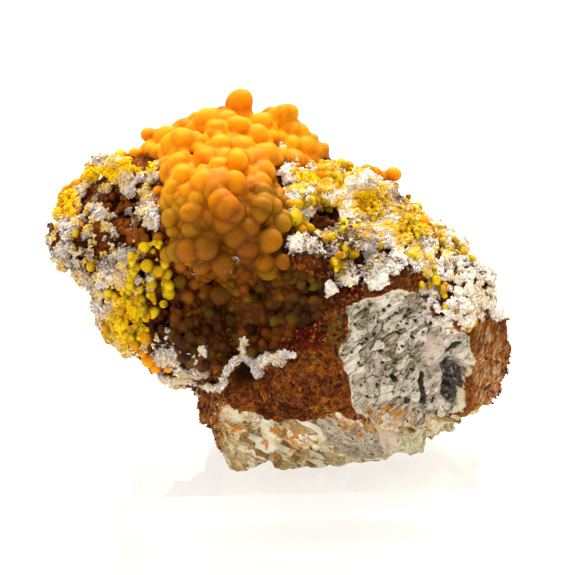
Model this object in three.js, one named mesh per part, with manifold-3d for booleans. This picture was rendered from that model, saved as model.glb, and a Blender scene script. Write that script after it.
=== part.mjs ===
// A mimetite specimen on a clear display base: orange botryoidal mimetite and white druse
// on a rusty limonite rock with a broken pale face. All sizes are in millimetres, +Z is up.
// The base stands on the origin. The specimen is built in its own frame, with x to its
// right, y away from its show side and z up, and then set leaning back on the base.
import * as THREE from "three";
import { mergeVertices } from "three/addons/utils/BufferGeometryUtils.js";
import Module from "manifold-3d";

const wasm = await Module();
wasm.setup();

// Display base
const BASE_SIDE = 50;
const BASE_HEIGHT = 10;
const BASE_BEVEL = 2;
const BASE_TURN = THREE.MathUtils.degToRad(-4);

// How the specimen sits on the base
const ROCK_CENTRE = new THREE.Vector3(-2.1, 0, 31.5);
const LEAN_BACK = THREE.MathUtils.degToRad(17);
const LEAN_RIGHT = THREE.MathUtils.degToRad(2.8);
const GAP = 0.3;

// Rock: the outline's radius every 15 degrees from the right, counterclockwise as seen from
// the show side, and how far the rock reaches in front of and behind that outline's plane.
const OUTLINE = [
  27.8, 23.6, 20.8, 19.0, 18.0, 18.8, 21.8, 23.4, 24.4, 26.0, 31.2, 34.0,
  26.4, 24.0, 21.3, 19.0, 21.2, 26.4, 26.9, 27.2, 28.2, 29.2, 31.6, 31.0,
];
const REACH_FRONT = 18.5;
const REACH_BACK = 19;
const SQUARENESS = 2.5;

// Flat breaks: which way each one faces and its distance from the rock's centre.
const BREAKS = [
  { faces: [0.5, -0.85, -0.1], distance: 19.2 }, // broken pale face
  { faces: [-0.1, -0.87, -0.5], distance: 20.4 }, // under the rusty boulder
  { faces: [0.44, -0.52, 0.73], distance: 15.0 }, // right flank
  { faces: [-0.56, -0.64, 0.52], distance: 24.0 }, // left lobe
  { faces: [-0.4, 0.85, 0.35], distance: 16.5 }, // back, left
  { faces: [0.55, 0.8, 0.15], distance: 17.5 }, // back, right
  { faces: [0.05, 0.65, -0.75], distance: 21.5 }, // back, below
  { faces: [0.05, 0.29, -0.96], distance: 22.2 }, // resting side
];
const BREAK_SHARPNESS = 20;

// Hollows (rise below zero) and swells, each at a point of the surface, with its width.
const RELIEF = [
  { at: [-6.5, -16, -2.8], rise: -6.5, width: 7.5 }, // main vug
  { at: [-13.0, -14, 0.5], rise: -3.0, width: 4.0 }, // vug, left end
  { at: [0.5, -17, -3.0], rise: -2.0, width: 4.5 }, // vug, right end
  { at: [-8.5, -16, 12.0], rise: 2.2, width: 6.5 }, // cascade
  { at: [-9.5, -15, 5.0], rise: 1.6, width: 4.0 }, // brow over the vug
  { at: [1.5, -17, -12.5], rise: 3.4, width: 5.5 }, // rusty boulder
  { at: [-4.5, -14, -11.6], rise: -2.4, width: 2.6 }, // pocket behind the curled druse
  { at: [-22.7, -9, 10.9], rise: -2.8, width: 3.0 }, // left lobe, upper cavity
  { at: [-21.3, -9, 6.0], rise: -2.4, width: 2.8 }, // left lobe, lower cavity
  { at: [5.1, -15, 9.2], rise: -2.0, width: 2.8 }, // right flank cavity
  { at: [16.0, -13, 6.0], rise: 1.4, width: 5.0 }, // right flank shoulder
  { at: [19.0, -11, -14.5], rise: -1.8, width: 3.2 }, // dark cleft in the pale face
  { at: [-19.0, -9, -8.5], rise: 1.2, width: 4.0 }, // lower left lip
  { at: [-12.0, 14, 6.0], rise: 2.0, width: 8.0 }, // back swell, left
  { at: [14.0, 13, -8.0], rise: 1.6, width: 7.0 }, // back swell, right
  { at: [6.0, 16, 8.0], rise: -2.0, width: 5.5 }, // back hollow
];
const BROAD_WAVES = { count: 9, length: 7.5, height: 0.85 };
const FINE_WAVES = { count: 11, length: 3.4, height: 0.42 };

// Mimetite balls that can be told apart from the show side: x, z and radius.
const CROWN_BALLS = [
  [-6.6, 25.3, 2.0], [-7.6, 23.6, 1.7], [-15.3, 22.6, 1.5], [-19.1, 21.0, 1.1],
  [-16.2, 20.6, 1.8], [-13.4, 20.3, 1.5], [-12.4, 23.0, 1.2], [-10.3, 23.2, 1.5],
  [-10.5, 21.2, 1.8], [-6.0, 21.6, 1.3], [-18.4, 18.6, 1.5], [-14.9, 17.0, 1.6],
  [-10.6, 17.4, 1.9], [-8.6, 17.6, 1.9], [-6.4, 19.0, 1.9], [-3.1, 18.1, 1.8],
  [-12.4, 14.6, 1.8], [-10.3, 15.0, 1.9], [-15.5, 13.6, 1.1], [-8.4, 12.3, 2.3],
  [-6.9, 10.5, 1.5], [-8.4, 8.9, 1.7], [-7.3, 14.2, 1.7], [-3.5, 15.6, 2.0],
  [-3.6, 12.9, 1.5], [-1.0, 12.7, 1.1], [-12.1, 10.1, 1.4], [-12.5, 12.1, 1.2],
  [-14.3, 11.8, 1.0], [-16.1, 9.5, 1.2], [-13.1, 8.0, 1.3], [-13.5, 6.8, 1.6],
  [-10.8, 6.2, 1.4], [-11.2, 5.4, 1.8], [-5.7, 5.6, 1.9], [-5.5, 7.1, 1.7],
  [-16.4, 4.5, 1.1], [-17.7, 6.8, 0.9], [-15.7, 7.7, 0.9], [-11.7, 3.0, 1.3],
  [-8.8, 3.2, 1.7], [-3.5, 9.0, 1.9], [-0.8, 8.7, 1.4], [-2.4, 6.3, 1.6],
  [-3.1, 3.5, 1.4], [-1.3, 23.6, 1.2], [0.3, 23.8, 1.3], [0.5, 21.6, 1.6],
  [1.8, 20.2, 1.5], [3.5, 20.4, 0.8], [4.7, 18.8, 1.1], [-3.2, 23.0, 1.0],
  [-3.5, 20.9, 1.3], [-1.0, 20.2, 1.4],
];
const VUG_BALLS = [
  [-14.7, 0.9, 1.1], [-9.1, -0.9, 1.6], [-6.2, -1.8, 1.1], [-10.3, -3.5, 0.8],
  [-5.7, 1.8, 1.1], [-11.9, -0.2, 0.9], [-2.2, 0.6, 1.1], [-2.0, -2.5, 1.2],
];
const LEAST_PROUD = 0.2;
const MOST_PROUD = 0.45;

// Crusts on the rock. Each one covers the rock inside its zones, which are ellipsoids round
// the surface, and is as thick as its zone says. Mimetite also has its balls: seen ones, and
// on the far side one of each size in turn wherever an evenly spread spot falls in a far zone.
const MIMETITE = {
  mimetite_crown: {
    zones: [
      { at: [-11, 0, 22], reach: [11, 10, 7.5], thick: 1.3 },
      { at: [-0.5, 0, 21], reach: [6.5, 9, 5.5], thick: 1.2 },
      { at: [-9, -9, 19], reach: [9, 8, 7], thick: 1.2 },
      { at: [-8, -16, 12], reach: [8.5, 9, 8.5], thick: 1.3 },
      { at: [-9, -16, 5], reach: [8.5, 6, 4.5], thick: 1.1 },
    ],
    seen: CROWN_BALLS,
    far: [
      { at: [-11, 7, 20], reach: [10, 6.5, 7] },
      { at: [0, 6, 19], reach: [6, 5, 6] },
    ],
  },
  mimetite_vug_lining: {
    zones: [{ at: [-6.5, -12, -3.5], reach: [9.5, 7, 6.5], thick: 0.9 }],
    seen: VUG_BALLS,
  },
  mimetite_top_left_rim: {
    zones: [{ at: [-23, -1, 17.5], reach: [4.8, 5, 3.5], thick: 0.8 }],
    seen: [[-22.9, 17.8, 1.1], [-20.9, 18.3, 1.0]],
  },
  mimetite_left_rim: {
    zones: [{ at: [-31.0, -3, 12.0], reach: [5, 6, 4], thick: 0.8 }],
    seen: [[-31.4, 12.2, 1.2], [-32.2, 10.0, 1.1], [-29.6, 14.0, 1.1]],
  },
  mimetite_lower_left: {
    zones: [{ at: [-21.8, -6, -4.2], reach: [4.5, 7, 5], thick: 0.8 }],
    seen: [[-18.2, -3.5, 0.9], [-19.4, -6.9, 1.0], [-22.3, -6.5, 1.1], [-20.2, -1.7, 1.1]],
  },
  mimetite_lip: {
    zones: [{ at: [-17.4, -6, -12.0], reach: [3.6, 5, 2.6], thick: 0.8 }],
    seen: [[-18.6, -10.2, 1.1], [-16.7, -12.4, 1.0]],
  },
  mimetite_ridge: {
    seen: [[9.7, 15.4, 1.0], [10.9, 15.7, 1.1], [12.1, 15.3, 1.0], [13.3, 15.0, 0.9], [14.4, 14.9, 1.2]],
  },
  mimetite_upper_flank: {
    seen: [[3.4, 15.1, 1.1], [4.6, 15.0, 1.3], [5.9, 14.5, 1.1], [7.1, 13.9, 0.9]],
  },
  mimetite_middle_flank: {
    seen: [[7.9, 13.2, 0.9], [8.8, 12.1, 1.1], [10.2, 11.3, 1.2], [11.6, 11.8, 1.0], [12.5, 10.6, 1.2]],
  },
  mimetite_right_shoulder: { seen: [[17.2, 8.9, 1.1], [18.3, 8.5, 1.4], [19.5, 7.6, 1.0]] },
  mimetite_inner_flank: { seen: [[0.9, 11.2, 1.1], [1.0, 9.4, 1.1], [1.8, 7.8, 1.0]] },
  mimetite_lower_flank: { seen: [[16.6, 3.9, 1.1], [15.5, 4.6, 0.9], [17.8, 3.2, 0.8]] },
  mimetite_back_patch: {
    zones: [{ at: [-12, 17, 7], reach: [6, 6, 4.5], thick: 0.9 }],
    far: [{ at: [-12, 17, 7], reach: [5.5, 5, 4] }],
  },
};
const FAR_SPOTS = 340;
const FAR_RADII = [1.7, 1.2, 1.5];

const DRUSE = {
  druse_left_lobe: [
    { at: [-24.5, -6, 8], reach: [9, 12, 9.5], thick: 1.3 },
    { at: [-23, -8, 1], reach: [6, 9, 5], thick: 1.0 },
  ],
  druse_right_flank: [
    { at: [8.5, -10, 12], reach: [9, 11, 8], thick: 1.2 },
    { at: [18, -6, 6.5], reach: [10, 11, 8], thick: 1.5 },
    { at: [24.5, -5, 0.5], reach: [6, 9, 5.5], thick: 1.7 },
  ],
  druse_lower_lip: [
    { at: [-13.5, -11, -9], reach: [5, 5, 2.6], thick: 1.1 },
    { at: [-5.5, -13, -9.6], reach: [6, 6, 2.4], thick: 1.5 },
  ],
};
const CRUST_LUMPS = { count: 7, length: 2.6, height: 0.3 };
const CRUST_EDGE = 0.3;

// How finely the rock and its crusts are faceted, as the number of cuts along an
// icosahedron's edge, the radius from which a ball is a rounder one, and how deep a crust's
// skin runs inside the rock where there is no crust.
const SKIN_DETAIL = 10;
const ROUNDER_FROM = 1.75;
const SUNK = 1.5;

const COLOURS = {
  mimetite: { color: 0xf0930c, roughness: 0.35, metalness: 0 },
  druse: { color: 0xd9d0c4, roughness: 0.7, metalness: 0 },
  rock: { color: 0x8a5a34, roughness: 0.95, metalness: 0 },
  base: { color: 0xf4f7f8, roughness: 0.05, metalness: 0, transparent: true, opacity: 0.3 },
};

// A closed geometry as a solid, and a solid as a geometry again.
function bareVertices(geometry, nearness) {
  geometry.deleteAttribute("normal");
  geometry.deleteAttribute("uv");
  return mergeVertices(geometry, nearness);
}

function solidOf(geometry) {
  return new wasm.Manifold(
    new wasm.Mesh({
      numProp: 3,
      vertProperties: new Float32Array(geometry.attributes.position.array),
      triVerts: new Uint32Array(geometry.index.array),
    }),
  );
}

function geometryOf(solid) {
  const mesh = solid.getMesh();
  const geometry = new THREE.BufferGeometry();
  geometry.setAttribute("position", new THREE.BufferAttribute(mesh.vertProperties, 3));
  geometry.setIndex(new THREE.BufferAttribute(mesh.triVerts, 1));
  geometry.computeVertexNormals();
  return geometry;
}

function largestBody(solid) {
  const bodies = solid.decompose();
  return bodies.reduce((best, body) => (body.volume() > best.volume() ? body : best));
}

// Evenly spread directions on a sphere.
function spreadDirection(index, count) {
  const z = 1 - (2 * index + 1) / count;
  const turn = index * Math.PI * (3 - Math.sqrt(5));
  const across = Math.sqrt(1 - z * z);
  return new THREE.Vector3(across * Math.cos(turn), across * Math.sin(turn), z);
}

// A number from 0 to 1 that looks random but is the same each time.
function scatter(index, salt) {
  const value = Math.sin(index * 12.9898 + salt * 78.233) * 43758.5453;
  return value - Math.floor(value);
}

// Uneven relief, as a sum of waves that run in many directions.
function waves({ count, length, height }, point) {
  let sum = 0;
  for (let i = 0; i < count; i++) {
    const run = spreadDirection(i, count);
    const pitch = (2 * Math.PI) / (length * (0.75 + 0.5 * scatter(i, length)));
    sum += Math.sin(point.dot(run) * pitch + 2 * Math.PI * scatter(i, height));
  }
  return (height * sum) / Math.sqrt(count);
}

// The outline's radius at an angle, as a smooth curve through its points.
function outlineRadius(angle) {
  const count = OUTLINE.length;
  const place = ((angle / (2 * Math.PI)) * count + count) % count;
  const i = Math.floor(place);
  const t = place - i;
  const [a, b, c, d] = [-1, 0, 1, 2].map((step) => OUTLINE[(i + step + count) % count]);
  const bend = 2 * a - 5 * b + 4 * c - d;
  const twist = 3 * b - a - 3 * c + d;
  return 0.5 * (2 * b + (c - a) * t + bend * t * t + twist * t ** 3);
}

// How far the rock reaches from its centre in a direction.
function rockRadius(direction) {
  const inPlane = Math.hypot(direction.x, direction.z);
  const outline = outlineRadius(Math.atan2(direction.z, direction.x));
  const reach = direction.y < 0 ? REACH_FRONT : REACH_BACK;
  const squared = (inPlane / outline) ** SQUARENESS + (Math.abs(direction.y) / reach) ** SQUARENESS;
  let inverse = squared ** (BREAK_SHARPNESS / SQUARENESS);
  for (const { faces, distance } of BREAKS) {
    const towards = new THREE.Vector3(...faces).normalize().dot(direction);
    if (towards > 0) inverse += (towards / distance) ** BREAK_SHARPNESS;
  }
  let radius = inverse ** (-1 / BREAK_SHARPNESS);
  for (const { at, rise, width } of RELIEF) {
    const centre = new THREE.Vector3(...at);
    const away = (direction.angleTo(centre) * centre.length()) / width;
    radius += rise * Math.exp(-away * away);
  }
  const point = direction.clone().multiplyScalar(radius);
  return radius + waves(BROAD_WAVES, point) + waves(FINE_WAVES, point);
}

// A closed skin round the rock's centre, at the radius that reach gives for each direction.
function skin(detail, reach) {
  const geometry = bareVertices(new THREE.IcosahedronGeometry(1, detail), 1e-5);
  const position = geometry.attributes.position;
  for (let i = 0; i < position.count; i++) {
    const direction = new THREE.Vector3().fromBufferAttribute(position, i).normalize();
    direction.multiplyScalar(reach(direction));
    position.setXYZ(i, direction.x, direction.y, direction.z);
  }
  return solidOf(geometry);
}

// How deep inside an ellipsoid zone a point is: 1 at its centre, 0 on its edge.
function zoneDepth({ at, reach }, point) {
  const [dx, dy, dz] = at.map((middle, k) => (point.getComponent(k) - middle) / reach[k]);
  return 1 - Math.hypot(dx, dy, dz);
}

// The surface point seen from the front at (x, z), or the nearest one on the outline.
function frontPoint(x, z) {
  const point = new THREE.Vector3(x, 0, z);
  const isOutside = (y) => {
    point.y = y;
    return point.length() > rockRadius(point.clone().normalize());
  };
  if (isOutside(0)) return point.clone().setLength(rockRadius(point.clone().normalize()));
  let near = -30;
  let far = 0;
  while (far - near > 0.01) {
    const middle = (near + far) / 2;
    if (isOutside(middle)) near = middle;
    else far = middle;
  }
  return new THREE.Vector3(x, far, z);
}

// Balls at the places where they are seen, each one standing a little proud of the rock.
function seenBalls(list) {
  return list.map(([x, z, radius], i) => {
    const surface = frontPoint(x, z);
    const proud = radius * (LEAST_PROUD + (MOST_PROUD - LEAST_PROUD) * scatter(i, 3));
    const centre = surface.clone().setLength(surface.length() + proud);
    centre.x = x;
    centre.z = z;
    return { centre, radius };
  });
}

// Balls at the evenly spread spots of the rock that fall in the zones.
function farBalls(zones) {
  const balls = [];
  for (let i = 0; i < FAR_SPOTS; i++) {
    const direction = spreadDirection(i, FAR_SPOTS);
    const surface = direction.clone().multiplyScalar(rockRadius(direction));
    const radius = FAR_RADII[i % FAR_RADII.length];
    const inside = zones.some((zone) => zoneDepth(zone, surface) > 0);
    if (inside) balls.push({ centre: surface.setLength(surface.length() + MOST_PROUD * radius), radius });
  }
  return balls;
}

function joinBalls(balls, grow) {
  const solids = balls.map(({ centre, radius }) => {
    const detail = radius < ROUNDER_FROM ? 0 : 1;
    const ball = bareVertices(new THREE.IcosahedronGeometry(radius + grow, detail), 1e-4);
    ball.translate(centre.x, centre.y, centre.z);
    return solidOf(ball);
  });
  return solids.reduce((whole, ball) => whole.add(ball));
}

// The lumpy skin of a crust that covers the zones. Elsewhere it runs inside the rock.
function crustSkin(zones, grow) {
  return skin(SKIN_DETAIL, (direction) => {
    const radius = rockRadius(direction);
    const point = direction.clone().multiplyScalar(radius);
    const depths = zones.map((zone) => zoneDepth(zone, point));
    const deepest = Math.max(...depths);
    if (deepest < 0) return radius - SUNK;
    const { thick } = zones[depths.indexOf(deepest)];
    const rise = thick * Math.min(1, deepest / CRUST_EDGE);
    return radius + rise + waves(CRUST_LUMPS, point) + grow;
  });
}

function mimetite({ zones = [], seen = [], far = [] }, grow) {
  const balls = joinBalls([...seenBalls(seen), ...farBalls(far)], grow);
  return zones.length ? balls.add(crustSkin(zones, grow)) : balls;
}

// All the space below the base's top face, in the specimen's frame, with its gap.
function belowBase(placement) {
  const size = 200;
  const block = new THREE.BoxGeometry(size, size, size);
  block.translate(0, 0, BASE_HEIGHT + GAP - size / 2);
  block.applyMatrix4(placement.clone().invert());
  return solidOf(bareVertices(block, 1e-4));
}

function clearBase() {
  const toCorner = Math.SQRT2 / 2;
  const wide = BASE_SIDE * toCorner;
  const narrow = (BASE_SIDE - 2 * BASE_BEVEL) * toCorner;
  const profile = [
    new THREE.Vector2(0, 0),
    new THREE.Vector2(wide, 0),
    new THREE.Vector2(wide, BASE_HEIGHT - BASE_BEVEL),
    new THREE.Vector2(narrow, BASE_HEIGHT),
    new THREE.Vector2(0, BASE_HEIGHT),
  ];
  const base = new THREE.LatheGeometry(profile, 4, Math.PI / 4);
  base.rotateX(Math.PI / 2);
  return base;
}

function named(name, geometry, finish) {
  const mesh = new THREE.Mesh(geometry, new THREE.MeshStandardMaterial(COLOURS[finish]));
  mesh.name = name;
  return mesh;
}

const specimen = new THREE.Group();
specimen.position.copy(ROCK_CENTRE);
specimen.rotation.set(-LEAN_BACK, LEAN_RIGHT, 0);
specimen.updateMatrixWorld(true);

const table = belowBase(specimen.matrixWorld);
const rock = skin(SKIN_DETAIL, rockRadius).subtract(table);
const rockWithGap = skin(SKIN_DETAIL, (direction) => rockRadius(direction) + GAP);
specimen.add(named("matrix", geometryOf(rock), "rock"));

// Each crust is cut off by the rock and by the crusts before it, with the gap between them.
let taken = rockWithGap;
for (const [name, growth] of Object.entries(MIMETITE)) {
  const crust = largestBody(mimetite(growth, 0).subtract(taken));
  specimen.add(named(name, geometryOf(crust), "mimetite"));
  taken = taken.add(mimetite(growth, GAP));
}
for (const [name, zones] of Object.entries(DRUSE)) {
  const crust = largestBody(crustSkin(zones, 0).subtract(taken).subtract(table));
  specimen.add(named(name, geometryOf(crust), "druse"));
}

const base = named("clear_base", clearBase(), "base");
base.rotation.z = BASE_TURN;

const part = new THREE.Group();
part.add(base, specimen);

export default part;
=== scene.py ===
import itertools
import math

import bmesh
import bpy
import numpy as np
from mathutils import Matrix, Vector


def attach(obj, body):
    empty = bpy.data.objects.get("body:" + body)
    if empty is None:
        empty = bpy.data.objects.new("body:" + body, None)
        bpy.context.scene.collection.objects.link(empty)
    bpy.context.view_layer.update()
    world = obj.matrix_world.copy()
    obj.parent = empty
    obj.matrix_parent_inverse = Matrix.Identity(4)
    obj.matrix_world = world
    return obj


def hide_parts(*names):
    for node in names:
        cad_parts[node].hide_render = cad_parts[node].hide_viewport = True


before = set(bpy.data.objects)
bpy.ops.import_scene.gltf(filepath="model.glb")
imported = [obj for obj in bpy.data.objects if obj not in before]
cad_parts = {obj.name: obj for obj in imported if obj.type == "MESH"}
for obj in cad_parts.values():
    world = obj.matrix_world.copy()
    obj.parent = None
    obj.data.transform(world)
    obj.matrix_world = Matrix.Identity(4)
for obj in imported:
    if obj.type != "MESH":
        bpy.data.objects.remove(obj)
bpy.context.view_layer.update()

MM = 0.001
BODY = "root"
SLOT_ROCK = "limonite_rock"
SLOT_MIMETITE = "mimetite"
SLOT_DRUSE = "white_druse"

# How the specimen sits on the base
ROCK_CENTRE = np.array([-2.1, 0.0, 31.5])
LEAN_BACK = math.radians(17)
LEAN_RIGHT = math.radians(2.8)
TURN = np.array(Matrix.Rotation(-LEAN_BACK, 3, "X") @ Matrix.Rotation(LEAN_RIGHT, 3, "Y"))
REST_HEIGHT = 10.35

# Camera, in millimetres, at the photograph's viewing angle
VIEW_DISTANCE = 420.0
LENS = 192.0
SENSOR = 36.0

# Floor and lamps, in metres. The floor gives off white light of its own, without which the
# clear base looks grey. Each lamp has a place, a size and a power.
FLOOR_REACH = 6.0
FLOOR_LIFT = 0.00005
FLOOR_GLOW = 0.66
LAMPS = {
    "top_back": ((0.05, 0.22, 0.5), 0.25, 3.2),
    "front_left": ((-0.35, -0.4, 0.45), 0.18, 0.8),
}
LAMP_AIM = Vector((0, 0, 0.03))

# How fine each skin is, in mm. The rock is a ball of squares with that many cuts along each
# side, which are packed closer towards the front by the share after it.
CROWN_VOXEL = 0.235
VUG_VOXEL = 0.185
CLUSTER_VOXEL = 0.15
BACK_PATCH_VOXEL = 0.2
SCATTERED_VOXEL = 0.22
CAVITY_VOXEL = 0.18
DRUSE_VOXEL = 0.25
ROCK_CUTS = 110
ROCK_FORWARD = 0.36

# How many little crystals each crust has, and how many crumbs the rock has
LEFT_GRAINS = 14000
RIGHT_GRAINS = 16000
SMALL_GRAINS = 4000
CRUMB_COUNT = 12000
CRYSTAL_SIZES = (0.08, 0.32)
CRUMB_SIZES = (0.1, 0.34)

# What starts each piece's random numbers
SEEDS = {
    "crown": 11, "vug": 12, "clusters": 20, "back_patch": 41, "scattered": 42, "cavities": 43,
    "left": 101, "right": 102, "lip": 103, "patches": 104, "needles": 105, "crumbs": 301,
}

# Rock: the outline's radius every 15 degrees from the right, counterclockwise as seen from
# the show side, and how far the rock reaches in front of and behind that outline's plane
OUTLINE = np.array([
    27.8, 23.6, 20.8, 19.0, 18.0, 18.8, 21.8, 23.4, 24.4, 26.0, 31.2, 34.0,
    26.4, 24.0, 21.3, 19.0, 21.2, 26.4, 26.9, 27.2, 28.2, 29.2, 31.6, 31.0,
])
REACH_FRONT = 18.5
REACH_BACK = 19.0
SQUARENESS = 2.5
MEAN_RADIUS = 25.0

# Flat breaks: which way each one faces, and its distance from the rock's centre
PALE_BREAK = (0.5, -0.85, -0.1)
LOWER_BREAK = (-0.1, -0.87, -0.5)
BREAKS = [
    (PALE_BREAK, 19.2),
    (LOWER_BREAK, 20.4),
    ((0.44, -0.52, 0.73), 15.0),
    ((-0.56, -0.64, 0.52), 24.0),
    ((-0.4, 0.85, 0.35), 16.5),
    ((0.55, 0.8, 0.15), 17.5),
    ((0.05, 0.65, -0.75), 21.5),
    ((0.05, 0.29, -0.96), 22.2),
]
BREAK_SHARPNESS = 20

# Hollows (rise below zero) and swells: a point of the surface, the rise and the width
RELIEF = [
    ((-6.5, -16, -2.8), -6.5, 7.5),
    ((-13.0, -14, 0.5), -3.0, 4.0),
    ((0.5, -17, -3.0), -2.0, 4.5),
    ((-8.5, -16, 12.0), 2.2, 6.5),
    ((-9.5, -15, 5.0), 1.6, 4.0),
    ((1.5, -17, -12.5), 3.4, 5.5),
    ((-4.5, -14, -11.6), -2.4, 2.6),
    ((-22.7, -9, 10.9), -2.8, 3.0),
    ((-21.3, -9, 6.0), -2.4, 2.8),
    ((5.1, -15, 9.2), -2.0, 2.8),
    ((16.0, -13, 6.0), 1.4, 5.0),
    ((19.0, -11, -14.5), -1.8, 3.2),
    ((-19.0, -9, -8.5), 1.2, 4.0),
    ((-12.0, 14, 6.0), 2.0, 8.0),
    ((14.0, 13, -8.0), 1.6, 7.0),
    ((6.0, 16, 8.0), -2.0, 5.5),
]
BROAD_WAVES = (9, 7.5, 0.85)
FINE_WAVES = (11, 3.4, 0.42)

# Mimetite crusts: ellipsoid zones round the rock's surface, with a centre and a reach
CROWN_ZONES = [
    ((-11, 0, 22), (11, 10, 7.5)),
    ((-0.5, 0, 21), (6.5, 9, 5.5)),
    ((-9, -9, 19), (9, 8, 7)),
    ((-8, -16, 12), (8.5, 9, 8.5)),
    ((-8.5, -16, 5), (7.0, 6, 4.5)),
]
VUG_ZONES = [
    ((-6.5, -12, -3.5), (9.5, 7, 6.5)),
    ((0.8, -15, -1.2), (4.3, 6, 4.3)),
    ((-10.5, -13, -7.5), (6.0, 6, 3.5)),
]
BACK_PATCH_ZONES = [((-12, 17, 7), (6, 6, 4.5))]

# Druse crusts, the same way
LEFT_DRUSE_ZONES = [
    ((-24.5, -6, 8), (9, 12, 9.5)), ((-23, -8, 1), (6, 9, 5)), ((-21.5, -8, -4.8), (4.6, 7, 4.8)),
]
RIGHT_DRUSE_ZONES = [
    ((8.5, -10, 12), (9, 11, 8)),
    ((18, -6, 6.5), (10, 11, 8)),
    ((24.5, -5, 0.5), (6, 9, 5.5)),
    ((10.0, -14, 4.2), (6.5, 6, 3.6)),
    ((22.5, -8, -2.2), (4.6, 7, 3.6)),
]
LIP_DRUSE_ZONES = [((-13.8, -11, -9.6), (4.6, 5, 2.3)), ((-1.8, -14, -9.2), (2.2, 5, 0.7))]
CRUST_EDGE = 0.3

# Where small yellow balls crowd between the larger crusts
YELLOW_ZONES = [((-21.8, -6, -4.2), (4.5, 8, 5)), ((-17.5, -12, 2), (3.2, 6, 6.5))]

# Mimetite balls that can be told apart in the front view: across, up and radius
CROWN_BALLS = [
    (-6.6, 25.3, 2.0), (-7.6, 23.6, 1.7), (-15.3, 22.6, 1.5), (-19.1, 21.0, 1.1), (-16.2, 20.6, 1.8),
    (-13.4, 20.3, 1.5), (-12.4, 23.0, 1.2), (-10.3, 23.2, 1.5), (-10.5, 21.2, 1.8), (-6.0, 21.6, 1.3),
    (-18.4, 18.6, 1.5), (-22.9, 18.0, 1.0), (-20.8, 18.2, 0.9), (-14.9, 17.0, 1.6), (-10.6, 17.4, 1.9),
    (-8.6, 17.6, 1.9), (-6.4, 19.0, 1.9), (-3.1, 18.1, 1.8), (-12.4, 14.6, 1.8), (-10.3, 15.0, 1.9),
    (-15.5, 13.6, 1.1), (-17.7, 13.2, 0.8), (-8.4, 12.3, 2.3), (-6.9, 10.5, 1.5), (-8.4, 8.9, 1.7),
    (-7.3, 14.2, 1.7), (-3.5, 15.6, 2.0), (-3.6, 12.9, 1.5), (-1.0, 12.7, 1.1), (-12.1, 10.1, 1.4),
    (-12.5, 12.1, 1.2), (-14.3, 11.8, 1.0), (-16.1, 9.5, 1.2), (-13.1, 8.0, 1.3), (-13.5, 6.8, 1.6),
    (-10.8, 6.2, 1.4), (-11.2, 5.4, 1.8), (-5.7, 5.6, 1.9), (-5.5, 7.1, 1.7), (-16.4, 4.5, 1.1),
    (-17.7, 6.8, 0.9), (-15.7, 7.7, 0.9), (-11.7, 3.0, 1.3), (-8.8, 3.2, 1.7), (-3.5, 9.0, 1.9),
    (-0.8, 8.7, 1.4), (-2.4, 6.4, 1.6), (-3.1, 3.5, 1.4), (-0.6, 3.5, 1.1), (-1.3, 23.6, 1.2),
    (0.3, 23.8, 1.3), (0.5, 21.6, 1.6), (1.8, 20.2, 1.5), (3.5, 20.4, 0.8), (4.7, 18.8, 1.1),
    (-3.2, 23.0, 1.0), (-3.5, 20.9, 1.3), (-1.0, 20.2, 1.4),
]
# Long merged ones: across, up, half length, half thickness and slant in degrees
CROWN_ROLLS = [
    (-9.9, 17.5, 3.1, 1.8, -5), (-11.6, 15.1, 2.8, 1.25, -5), (-8.3, 11.0, 2.8, 1.8, -42),
    (-0.5, 23.8, 2.2, 1.45, 8), (0.75, 21.4, 2.5, 1.55, -18), (-9.9, 21.6, 2.2, 1.3, -30),
    (-17.1, 18.6, 1.9, 1.35, 10), (-5.5, 5.4, 2.3, 1.6, 80), (-4.6, 17.4, 2.3, 1.9, -40),
    (-14.6, 21.4, 2.3, 1.6, 35), (-3.6, 11.0, 2.4, 1.5, 70), (-11.6, 9.2, 1.9, 1.3, 30),
]
VUG_BALLS = [
    (-14.7, 0.9, 1.0), (-11.7, 0.6, 0.8), (-9.1, -0.9, 1.5), (-6.2, -1.8, 1.0), (-10.3, -3.5, 0.7),
    (-5.7, 2.0, 1.1), (-3.5, 0.3, 1.0), (-2.2, 0.6, 1.1), (-2.0, -2.5, 1.2),
]
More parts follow.
